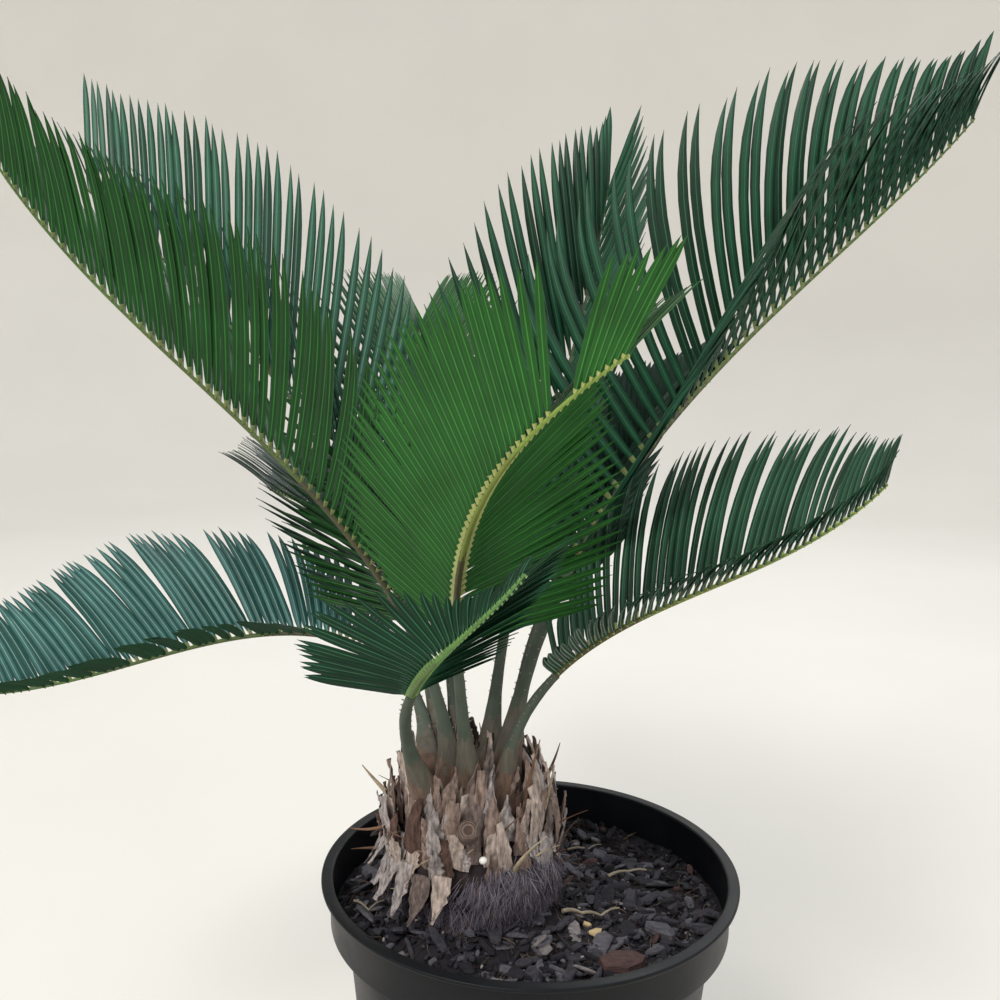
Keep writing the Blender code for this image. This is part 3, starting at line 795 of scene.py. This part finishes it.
def trunk_radius(share):
    if share < TRUNK_BELLY_PLACE:
        return blend(TRUNK_FOOT_RADIUS, TRUNK_BELLY_RADIUS, ease(0.0, TRUNK_BELLY_PLACE, share))
    narrowing = ease(TRUNK_BELLY_PLACE, TRUNK_SHOULDER_PLACE, share)
    return blend(TRUNK_BELLY_RADIUS, TRUNK_CROWN_RADIUS, narrowing)


def trunk_spot(angle, height, proud):
    """A point on the trunk's side, the direction out of it, and the one across."""
    share = min(max((height - TRUNK_FOOT) / (TRUNK_TOP - TRUNK_FOOT), 0.0), 1.0)
    heading = around(angle)
    spot = TRUNK_AXIS + heading * (trunk_radius(share) + proud) + UP * height
    return spot, heading, UP.cross(heading)


def nearness(angle, bearing):
    """1 on the side at that bearing, falling to 0 on the side away from it."""
    return 0.5 + 0.5 * cos(angle - bearing)


def make_trunk_body():
    rings = []
    for ring in range(TRUNK_RINGS + 1):
        height = blend(TRUNK_FOOT - 0.006, TRUNK_TOP, ring / TRUNK_RINGS)
        points = []
        for column in range(TRUNK_COLUMNS):
            angle = TURN * column / TRUNK_COLUMNS
            spot, heading, _ = trunk_spot(angle, height, -0.002)
            rough = wave(cos(angle) * 3, sin(angle) * 3, height * 120)
            points.append(spot + heading * rough * 0.0022)
        rings.append(points)
    for share, lift in ((0.8, 0.002), (0.5, 0.004), (0.2, 0.005)):
        level = TRUNK_TOP - 0.004 + lift
        rings.append([
            TRUNK_AXIS + around(TURN * k / TRUNK_COLUMNS) * TRUNK_CROWN_RADIUS * share + UP * level
            for k in range(TRUNK_COLUMNS)
        ])
    shape = Shape()
    shape.loft(rings, 0)
    core = finish(
        "trunk_core", (52, 44, 46), shift=0.45, scale=90.0, rough=0.95, bump=0.9,
        grain=260.0, stretch=(3, 3, 0.6), spec=0.2,
    )
    shape.make("trunk_core", [core], ["trunk"], sharp=60)


def scale(shape, root, heading, length, breadth, lean, curl, twist, point, rng, slot):
    """An old leaf base: a thick-footed papery scale, ragged at its edges, with a torn point."""
    across = Matrix.Rotation(twist, 3, heading) @ UP.cross(heading).normalized()
    outside = [(1, 2 * row / SCALE_ROWS - 1) for row in range(SCALE_ROWS + 1)]
    sides = outside + [(-1, u) for _, u in reversed(outside)]
    spot = root.copy()
    seed = rng.uniform(0, 50)
    sweep = rng.gauss(0, 0.22)
    rings = []
    for k in range(SCALE_STATIONS):
        share = k / (SCALE_STATIONS - 1)
        angle = lean + curl * (share - 0.3)
        along = turned(UP, heading, angle)
        outward = turned(heading, -UP, angle)
        along = (along + across * sweep * (share - 0.2)).normalized()
        if k:
            spot = spot + along * length / (SCALE_STATIONS - 1)
        taper = blend(1.0, 0.86, ease(0.0, 0.40, share)) * blend(1.0, point, ease(0.34, 1.0, share))
        half = breadth / 2 * taper
        thick = blend(*SCALE_THICKNESS, ease(0.0, 0.8, share))
        ring = []
        for side, u in sides:
            torn = 1 + 0.30 * wave(share * 9, seed, copysign(4, u)) * abs(u)
            hollow = -0.16 * breadth * (1 - u * u) * ease(0.1, 0.7, share)
            rough = 0.0016 * noise.noise(Vector((u * 2.6, share * 7, seed)) * 1.7)
            edge = 1 - 0.75 * abs(u) ** 2
            depth = side * thick * 0.5 * edge - hollow * 0.6 + rough
            ring.append(spot + across * (u * half * torn) + outward * depth)
        rings.append(ring)
    shape.loft(rings, slot)


def make_scales():
    """Rows of old leaf bases, taller papery ones round the stalks, and sheets that hang down."""
    rng = random.Random(5)
    shape = Shape()
    for k in range(SIDE_SCALES):
        share = (k + 0.5) / SIDE_SCALES
        angle = k * GOLDEN_TURN + rng.uniform(-0.2, 0.2)
        height = blend(*SCALE_LEVEL, share**0.8) + rng.uniform(-0.003, 0.002)
        if height < 0.150 + 0.032 * nearness(angle, BARE_BEARING) ** 2 and rng.random() < 0.85:
            continue
        root, heading, _ = trunk_spot(angle, height, -0.0018)
        length = blend(*SCALE_LENGTH, share) * rng.uniform(0.70, 1.25)
        breadth = blend(*SCALE_BREADTH, share) * rng.uniform(0.60, 1.20)
        lean = radians(blend(16, -3, share) + rng.uniform(-9, 9))
        curl = radians(rng.uniform(-46, 18))
        point = rng.choice((0.04, 0.10, 0.22, 0.36, 0.5))
        slot = pick(rng, 26, 26, 24, 10, 14)
        twist = rng.uniform(-0.45, 0.45)
        scale(shape, root, heading, length, breadth, lean, curl, twist, point, rng, slot)
    for k in range(CROWN_SCALES):
        angle = k * GOLDEN_TURN + 0.7
        reach = blend(*CROWN_REACH, (k % 12) / 11)
        outer = reach / CROWN_REACH[1]
        root = TRUNK_AXIS + around(angle) * reach + UP * rng.uniform(0.189, 0.197)
        length = rng.uniform(*CROWN_LENGTH) * blend(1.12, 0.78, outer)
        lean = radians(blend(0, 8, outer) + rng.uniform(-7, 8))
        slot = pick(rng, 24, 28, 18, 16, 14)
        breadth = rng.uniform(*CROWN_BREADTH)
        curl = radians(rng.uniform(-18, 14))
        twist = rng.uniform(-0.3, 0.3)
        scale(shape, root, around(angle), length, breadth, lean, curl, twist, 0.04, rng, slot)
    for bearing, height, length, breadth, lean in HANGING:
        root, heading, _ = trunk_spot(radians(bearing), height, 0.0012)
        lean, curl = radians(lean), radians(-24)
        twist = rng.uniform(-0.2, 0.2)
        point = rng.choice((0.15, 0.3, 0.5))
        slot = rng.choice((0, 2, 2, 4))
        scale(shape, root, heading, length, breadth * 1.25, lean, curl, twist, point, rng, slot)
    mats = finishes(
        "scale_tone", SCALE_TONES, shift=0.55, scale=210.0, detail=10.0, rough=0.86, bump=1.0,
        grain=320.0, stretch=(2.6, 2.6, 0.7), spec=0.2, sheen=0.05,
    )
    shape.make("trunk_scales_papery", mats, sharp=45)


def make_cut_stub():
    """The round cut end of an old petiole, low at the front of the crown."""
    foot, top = Vector((-0.0302, -0.0335, 0.1965)), Vector((-0.0304, -0.0425, 0.2030))
    along = (top - foot).normalized()
    across = along.cross(UP).normalized()
    ahead = across.cross(along)
    steps = 28
    rings, slots = [], []
    for radius, place, slot in CUT_STUB:
        ring = []
        for k in range(steps):
            angle = TURN * k / steps
            uneven = 1 + 0.06 * wave(cos(angle) * 2, sin(angle) * 2, radius * 900)
            side = turned(across, ahead, angle)
            ring.append(foot.lerp(top, place) + side * radius * uneven)
        rings.append(ring)
        slots.append(slot)
    shape = Shape()
    shape.loft(rings, slots[1:])
    mats = [
        finish(
            f"cut_{name}", tone, shift=0.3, scale=220.0, rough=0.85, bump=0.6,
            grain=400.0, spec=0.2,
        )
        for name, tone in (("side", (112, 98, 90)), ("rim", (112, 98, 90)), ("pith", (78, 64, 58)))
    ]
    shape.make("trunk_cut_stub", mats, sharp=50)


def make_stubs():
    """Dry stubs of old petioles, and thin splinters between the scales."""
    rng = random.Random(21)
    shape = Shape()
    steps = 9
    for bearing, height, length, lean, sideways, radius in STUBS:
        root, heading, across = trunk_spot(radians(bearing), height, -0.002)
        points = [root]
        for k in range(steps):
            share = (k + 0.5) / steps
            tilt = radians(lean * blend(1.15, 0.85, share))
            turn = radians(sideways) * (share - 0.3) * 2
            along = turned(turned(UP, heading, tilt), across, turn).normalized()
            points.append(points[-1] + along * length / steps)
        radii = [radius * blend(1.0, 0.16, (k / steps) ** 1.4) for k in range(steps + 1)]
        shape.thread(points, radii, 8, 0 if rng.random() < 0.6 else 1)
    for _ in range(SPLINTERS):
        angle = rng.uniform(0, TURN)
        root, heading, across = trunk_spot(angle, rng.uniform(0.158, 0.196), -0.001)
        length = rng.uniform(*SPLINTER_LENGTH)
        tilt = radians(rng.uniform(10, 75))
        along = turned(UP, heading, tilt) + across * rng.uniform(-0.8, 0.8)
        along.normalize()
        bow = across * rng.uniform(-0.003, 0.003) - UP * rng.uniform(0, 0.004)
        shares = (0, 0.25, 0.5, 0.75, 1.0)
        points = [root + along * length * s + bow * s * s for s in shares]
        radii = [0.0006 * blend(1.0, 0.25, s) * rng.uniform(0.8, 1.2) for s in shares]
        shape.thread(points, radii, 5, rng.choice((0, 1, 2)))
    mats = finishes(
        "stub_tone", STUB_TONES, shift=0.3, scale=150.0, rough=0.8, bump=0.5, grain=420.0,
        spec=0.3,
    )
    shape.make("trunk_dry_stubs", mats, sharp=60)


def make_hair():
    """Grey woolly fibres on the lower trunk, combed down and out."""
    rng = random.Random(33)
    shape = Shape()
    for _ in range(TUFTS):
        if rng.random() < 0.74:
            bearing = WOOL_BEARING + rng.gauss(0, 0.46)
        else:
            bearing = rng.uniform(0, TURN)
        top = 0.156 + 0.026 * nearness(bearing, WOOL_BEARING) ** 5
        level = blend(WOOL_FOOT, top, rng.random())
        comb = rng.gauss(0, 0.28)
        lift = rng.uniform(-1.3, -0.5)
        tone = pick(rng, 44, 38, 18)
        for _ in range(TUFT_HAIRS):
            off = rng.gauss(0, 0.085)
            root, heading, across = trunk_spot(
                bearing + off, level + rng.gauss(0, 0.0022), rng.uniform(-0.0005, 0.0030)
            )
            length = rng.uniform(*HAIR_LENGTH)
            along = (
                UP * (lift + rng.gauss(0, 0.14)) + heading * rng.uniform(0.10, 0.55)
                + across * (comb + off * 3.2 + rng.gauss(0, 0.10))
            ).normalized()
            bow = -heading * rng.uniform(0.1, 0.6) + across * rng.gauss(0, 0.12)
            points = [root + (along * s + bow * s * s * 0.5) * length for s in (0, 0.4, 0.75, 1.0)]
            for point in points:
                point.z = max(point.z, mulch_surface(point) + 0.0006)
            slot = tone if rng.random() < 0.72 else rng.choice((0, 1, 2, 3))
            shape.thread(points, HAIR_RADII, 3, slot)
    mats = finishes(
        "hair_tone", HAIR_TONES, shift=0.2, scale=180.0, rough=0.8, bump=0.1, spec=0.3, sheen=0.15
    )
    shape.make("trunk_hair", mats)


def make_pellet():
    """The white fertiliser pellet that lies against the trunk."""
    centre = trunk_spot(radians(-82), 0.1885, 0.0085)[0]
    rows, sides = 10, 16
    wide, high = 0.0019, 0.0018
    rings = []
    for k in range(1, rows):
        polar = pi * k / rows
        rings.append([
            centre + Vector((
                wide * sin(polar) * cos(TURN * j / sides),
                wide * sin(polar) * sin(TURN * j / sides),
                high * cos(polar),
            ))
            for j in range(sides)
        ])
    bead = Shape()
    bead.loft(rings, 0)
    white = finish("pellet_white", (232, 232, 228), shift=0.05, scale=300, rough=0.5, bump=0.1)
    bead.make("feed_pellet", [white], sharp=60)


# ---------------------------------------------------------------- fronds


def axes_at(spec, share):
    """Directions at a share of a frond's curve: along it, to its left, and out of its top."""
    heading = radians(through(spec["heading"], share))
    rise = radians(through(spec["rise"], share))
    level = cos(rise)
    along = Vector((level * cos(heading), level * sin(heading), sin(rise)))
    left = Vector((-sin(heading), cos(heading), 0.0))
    above = along.cross(left)
    roll = radians(blend(*spec["roll"], share))
    return along, turned(left, above, roll), turned(above, -left, roll)


def frond_path(spec):
    x, y = spec["seat"]
    tilt = abs(cos(radians(spec["rise"][0])))
    points = [Vector((x, y, TRUNK_TOP + GAP + PETIOLE_FOOT_RADIUS * tilt))]
    step = spec["length"] / PATH_STEPS
    for i in range(PATH_STEPS):
        points.append(points[-1] + axes_at(spec, (i + 0.5) / PATH_STEPS)[0] * step)
    return points


def spot_on(points, share):
    place = min(max(share, 0.0), 1.0) * (len(points) - 1)
    index = min(int(place), len(points) - 2)
    return points[index].lerp(points[index + 1], place - index)


def petiole_radius(part):
    return blend(PETIOLE_FOOT_RADIUS, PETIOLE_END_RADIUS, ease(0.0, PETIOLE_TAPER_END, part))


def zone(level, first, second):
    """0, 1 or 2 for a level below the first bound, below the second, or past it."""
    return 0 if level < first else 1 if level < second else 2


def make_petiole(name, spec, points, rng, mats):
    """A stalk, brown and felted at its foot, flattened on its upper side, with small prickles."""
    shape = Shape()
    felt = rng.uniform(0.16, 0.28)
    rings, slots = [], []
    for k in range(-SUNK_RINGS, PETIOLE_STEPS + 1):
        part = k / PETIOLE_STEPS
        share = spec["petiole"] * max(part, 0.0)
        along, left, above = axes_at(spec, share)
        spot = spot_on(points, share)
        if k < 0:
            spot = points[0] + along * (k * SUNK_STEP)
        swell = 1.0 + STALK_SWELL * (1 - ease(0.7, 1.0, part))
        swell += FOOT_SWELL * (1 - ease(0.0, 0.5, part))
        radius = petiole_radius(max(part, 0.0)) * swell
        ring = []
        for j in range(PETIOLE_SIDES):
            angle = TURN * j / PETIOLE_SIDES
            flat = 0.80 if sin(angle) > 0.35 else 1.0
            bulge = 1 + 0.05 * wave(j * 0.9, part * 14, len(name))
            ring.append(
                spot + (left * cos(angle) + above * sin(angle) * flat) * radius * bulge
            )
        rings.append(ring)
        slots.append([
            zone(part + 0.10 * wave(j * 0.7, part * 9, len(name) * 3.1), felt, felt + 0.16)
            for j in range(PETIOLE_SIDES)
        ])
    shape.loft(rings, slots[:-1])
    for side in (-1, 1):
        for k in range(PRICKLES):
            part = blend(0.30, 0.98, (k + rng.uniform(-0.3, 0.3)) / (PRICKLES - 1))
            share = spec["petiole"] * min(part, 1.0)
            along, left, above = axes_at(spec, share)
            out = petiole_radius(part) * (1.12 + 0.10 * (1 - part))
            foot = spot_on(points, share) + (left * side + above * 0.45).normalized() * out
            lean = (left * side + along * 0.5 + above * 0.2).normalized()
            tip = foot + lean * rng.uniform(*PRICKLE_LENGTH)
            shape.thread([foot, tip], PRICKLE_RADII, 5, 3)
    obj = shape.make("stalk_" + name, mats, ["petiole_" + name], sharp=50)


def leaflet_length(spec, part):
    swell = blend(LEAFLET_ROOT_SHARE, 1.0, ease(0.0, LEAFLET_FULL_FROM, part))
    taper = blend(1.0, LEAFLET_TIP_SHARE, ease(LEAFLET_SHORTENS_FROM, 1.0, part))
    return spec["leaflet"] * swell * taper


def leaflet_breadth(s):
    """Breadth of a leaflet at a share of its length, as a share of its widest."""
    if s < 0.15:
        return blend(0.34, 0.94, ease(-0.04, 0.15, s))
    if s < 0.66:
        return blend(0.94, 1.0, ease(0.15, 0.45, s))
    return 1.0 - ((s - 0.66) / 0.34) ** 2.1


def leaflet_slots(shade, blade):
    """Materials round a leaflet: 0 and 1 its blade, 2 its midrib, 3 its under side. 1 is also
    painted shade on the edges, and 3 is made darker as painted shade.
    """
    # a row in painted shade: the darker blade colour all over, the midrib in the lighter one
    if shade == PAINTED_SHADE:
        return [1, 1, 0, 1, 1, 1, 3, 0, 3, 1]
    # a sparse row in painted shade: the under side's darker colour on its top, its edges in the
    # darker blade colour
    if shade == SPARSE_PAINTED_SHADE:
        return [1, 3, 3, 3, 1, 3, 3, 3, 3, 3]
    # the edge strips take the darker blade colour as painted shade between leaflets; the blade is 0
    # or 1 at random
    return [1, blade, 2, blade, 1, 1, 3, 2, 3, 1]


def bunches(spec, rng):
    """For each leaflet of a row, how far it leans toward the middle of its bunch, in degrees."""
    low, high, share = spec["bunch"]
    pitch = spec["length"] * (1 - spec["petiole"]) / spec["pairs"]
    leans = []
    while len(leans) < spec["pairs"]:
        size = rng.randint(low, high)
        pull = share * rng.uniform(0.6, 1.3) * degrees(pitch / spec["leaflet"])
        leans.extend(pull * (k - (size - 1) / 2) for k in range(size))
    return leans


def leaflet_rings(spec, row, points, part, side, shorten, lean, rng):
    """The rings of one leaflet, which bends forward in its own plane and sags out of it."""
    share = blend(spec["petiole"], 1.0, part)
    along, left, above = axes_at(spec, share)
    stray = 2.2 * wave(part * 11, side * 3.1, spec["length"] * 50) + rng.gauss(0, 0.45)
    drift = spec["loose"] * (1 + 1.2 * part**3) * stray
    splay = blend(*spec["splay"], part**SPLAY_POWER) - LEAFLET_CURL + along_row(row["lean"], part)
    splay = radians(splay + drift + lean)
    vee = blend(*spec["vee"], ease(0.0, VEE_SETTLES_AT, part)) + row["fold"]
    vee = radians(vee + spec["loose"] * rng.gauss(0, 0.6))
    outward = turned(left * side, above, vee)
    facing = turned(above, left * -side, vee)
    length = leaflet_length(spec, part) * along_row(row["reach"], part) * shorten
    length *= rng.uniform(0.70 if row["shade"] == SPARSE_PAINTED_SHADE else 0.97, 1.01)
    bend = spec["bend"] if row["bend"] is None else row["bend"]
    bend = radians(bend * rng.uniform(0.9, 1.1))
    sag = radians(spec["sag"] * rng.uniform(0.8, 1.2))
    twist = radians(blend(*row["twist"], part) + rng.gauss(0, 4.0))
    half = spec["width"] / 2 * rng.uniform(0.95, 1.05) * blend(1.0, 0.82, ease(0.5, 1.0, part))
    spot = spot_on(points, share) + (
        left * side * blend(*RIB_WIDTH, part) * 0.26 + above * blend(*RIB_DEPTH, part) * 0.22
    )

    def course(s):
        """Angle to the rib and direction of the leaflet at a share of its length."""
        angle = splay + bend * (1 / 3 - s * s)
        lift = sag * (0.5 - s)
        return angle, turned(turned(along, outward, angle), facing, lift)

    rings = []
    last = 0.0
    for s in STATIONS:
        spot = spot + course((s + last) / 2)[1] * length * (s - last)
        last = s
        angle, direction = course(s)
        breadth = turned(-outward, along, angle)
        normal = breadth.cross(direction) * side
        if normal.dot(facing) < 0:
            normal = -normal
        turn = twist * ease(-0.1, 0.25, s)
        wide, thick = turned(breadth, normal, turn), turned(normal, -breadth, turn)
        reach = half * max(leaflet_breadth(s), 0.03)
        crown = reach * LEAFLET_CROWN
        body = LEAFLET_THICKNESS * blend(2.0, 1.0, ease(0.0, 0.10, s)) * (1 - 0.6 * ease(0.7, 1, s))
        rings.append([
            spot + wide * u * reach + thick * (h * crown - body * deep) for u, h, deep in SECTION
        ])
    return rings


def blocked(rings, others):
    """Whether a leaflet runs into another frond's stalk or rib."""
    spots = [rings[k][2] for k in (2, 4, 6, 8, 10, 13)]
    for a, b in zip(spots, spots[1:]):
        step = b - a
        for tree in others:
            if tree.ray_cast(a, step.normalized(), step.length)[0] is not None:
                return True
    return False


def make_leaflets(name, spec, points, others, mats):
    rng = random.Random(100 + sorted(FRONDS).index(name))
    pairs = spec["pairs"]
    rows = {-1: {**ROW, **spec["right"]}, 1: {**ROW, **spec["left"]}}
    leans = {side: bunches(spec, rng) for side in rows}
    shape = Shape()
    for pair in range(pairs):
        for side, row in rows.items():
            place = (pair + 0.55 + (0.22 if side > 0 else -0.1) + rng.uniform(-0.06, 0.06)) / pairs
            if row["shade"] == SPARSE_PAINTED_SHADE and rng.random() < SPARSE_MISSING:
                continue
            if row["gap"][0] < place < row["gap"][1]:
                continue
            part = min(place, 0.995) ** spec["crowd"]
            for shorten in (1.0, 0.8, 0.6, 0.4):
                rings = leaflet_rings(
                    spec, row, points, part, side, shorten, leans[side][pair], rng
                )
                if not blocked(rings, others):
                    break
            else:
                continue
            slots = leaflet_slots(row["shade"], pick(rng, 74, 26))
            shape.loft(rings, [[ROOT_SLOT] * len(SECTION)] + [slots] * (len(STATIONS) - 2))
    obj = shape.make("leaflets_" + name, mats, ["blade_" + name], sharp=38)


def make_rib(name, spec, points, mats):
    rings, slots = [], []
    for k in range(RIB_STEPS + 1):
        part = k / RIB_STEPS
        share = blend(spec["petiole"], 1.0, part)
        _, left, above = axes_at(spec, share)
        spot = spot_on(points, share)
        wide = blend(*RIB_WIDTH, part) / 2
        deep = blend(*RIB_DEPTH, part) / 2
        rings.append([
            spot + left * cos(TURN * j / RIB_SIDES) * wide
            + above * sin(TURN * j / RIB_SIDES) * deep * (0.75 if j < RIB_SIDES / 2 else 1.1)
            for j in range(RIB_SIDES)
        ])
        slots.append([
            zone(part + 0.10 * wave(j * 0.8, k * 0.5, len(name)), 0.30, 0.66)
            for j in range(RIB_SIDES)
        ])
    rib = Shape()
    rib.loft(rings, slots[:-1])
    obj = rib.make("rib_" + name, mats, ["blade_" + name], sharp=60)


def guide_tree(spec, points):
    """A rough tube along a frond's stalk and rib."""
    verts, faces = [], []
    for index, spot in enumerate(points):
        share = index / (len(points) - 1)
        _, left, above = axes_at(spec, share)
        radius = petiole_radius(share / spec["petiole"]) if share < spec["petiole"] else 0.0016
        for x, y in ((1, 1), (-1, 1), (-1, -1), (1, -1)):
            verts.append(spot + (left * x + above * y) * radius * 0.75)
    for low in range(0, 4 * (len(points) - 1), 4):
        for i in range(4):
            after = (i + 1) % 4
            faces.append((low + i, low + after, low + 4 + after, low + 4 + i))
    return BVHTree.FromPolygons(verts, faces)


def make_fronds():
    leaves = {
        name: [
            finish(
                f"leaf_{name}_{part}", tone, shift=0.16, scale=45.0, detail=3.0, rough=rough,
                rough_shift=0.07, bump=0.05, grain=900.0, spec=spec,
            )
            for (part, rough, spec), tone in zip(LEAF_PARTS, tones)
        ]
        for name, tones in LEAVES.items()
    }
    ribs = {
        name: [
            finish(
                f"rib_{name}_{part}", tone, shift=0.14, scale=90, rough=0.5, bump=0.15,
                grain=500,
            )
            for part, tone in zip(RIB_PARTS, tones)
        ]
        for name, tones in RIBS.items()
    }
    stalks = [
        finish(
            "stalk_felt", (106, 86, 74), shift=0.35, scale=170, rough=0.9, bump=0.7, grain=450,
            stretch=(2, 2, 0.6), spec=0.2, sheen=0.15,
        ),
        finish(
            "stalk_scurfy", (94, 90, 80), shift=0.22, scale=200, rough=0.78, bump=0.4,
            grain=500, stretch=(2, 2, 0.5), spec=0.3,
        ),
        finish(
            "stalk_green", (72, 82, 70), shift=0.16, scale=150, rough=0.62, bump=0.25,
            grain=450, stretch=(2, 2, 0.4), spec=0.4,
        ),
        finish("stalk_prickle", (140, 134, 108), shift=0.1, scale=200, rough=0.7, bump=0.1),
    ]
    specs = {name: dict(zip(FROND_FIELDS, values)) for name, values in FRONDS.items()}
    paths = {name: frond_path(spec) for name, spec in specs.items()}
    guides = {name: guide_tree(spec, paths[name]) for name, spec in specs.items()}
    for number, (name, spec) in enumerate(specs.items()):
        path, rib = paths[name], ribs[spec["rib"]]
        make_petiole(name, spec, path, random.Random(40 + number), stalks)
        others = [tree for other, tree in guides.items() if other != name]
        make_leaflets(name, spec, path, others, leaves[spec["leaf"]] + rib[3:])
        make_rib(name, spec, path, rib[:3])


# ---------------------------------------------------------------- studio


def make_studio():
    profile = [(0.02, 0.0), (0.6, 0.0), (1.4, 0.0), (FLOOR_REACH, 0.0)]
    for k in range(1, 13):
        angle = pi / 2 * k / 12
        profile.append((
            FLOOR_REACH + FLOOR_CURVE * sin(angle), FLOOR_CURVE * (1 - cos(angle))
        ))
    profile.append((FLOOR_REACH + FLOOR_CURVE, WALL_HEIGHT))
    shape = Shape()
    shape.loft([circle(radius, level - 0.0002, 96) for radius, level in profile], 0, closed=False)
    paper = finish("studio_paper", (236, 232, 225), shift=0.015, scale=3.0, rough=0.9, bump=0.0)
    shape.place("studio_floor", [paper], smooth=True)

    world = bpy.data.worlds.new("studio_sky")
    world.use_nodes = True
    sky = world.node_tree.nodes["Background"]
    set_inputs(sky, {"Color": (0.93, 0.97, 1.0, 1.0), "Strength": 0.62})
    bpy.context.scene.world = world

    for name, place, size, power, colour in LAMPS:
        lamp = bpy.data.lights.new(name, "AREA")
        lamp.shape = "DISK"
        lamp.size = size
        lamp.energy = power
        lamp.color = colour
        obj = bpy.data.objects.new(name, lamp)
        obj.location = place
        aim = Vector((0.0, 0.0, 0.32)) - Vector(place)
        obj.rotation_mode = "QUATERNION"
        obj.rotation_quaternion = aim.to_track_quat("-Z", "Y")
        obj.visible_camera = False
        bpy.context.scene.collection.objects.link(obj)


def make_camera():
    """The photograph's camera: its lens is as long as its sensor is wide."""
    right, level = Vector((1.0, 0.0, 0.0)), Vector((0.0, 1.0, 0.0))
    ahead, upright = turned(level, -UP, CAMERA_PITCH), turned(UP, level, CAMERA_PITCH)
    cam_right, cam_up = turned(right, upright, CAMERA_ROLL), turned(upright, -right, CAMERA_ROLL)
    data = bpy.data.cameras.new("photo_camera")
    data.sensor_fit = "HORIZONTAL"
    data.sensor_width = 36.0
    data.lens = 36.0
    data.clip_start = 0.01
    data.clip_end = 50.0
    cam = bpy.data.objects.new("photo_camera", data)
    bpy.context.scene.collection.objects.link(cam)
    basis = Matrix((cam_right, cam_up, -ahead)).transposed().to_4x4()
    cam.matrix_world = Matrix.Translation(CAMERA_EYE) @ basis
    bpy.context.scene.camera = cam


bpy.context.scene.view_settings.view_transform = "Standard"
make_pot()
make_bed()
mulch_rng = random.Random(11)
make_chips(mulch_rng)
make_fibres(mulch_rng)
make_flecks(mulch_rng)
make_twigs()
make_trunk_body()
make_scales()
make_cut_stub()
make_stubs()
make_hair()
make_pellet()
make_fronds()
make_studio()
make_camera()
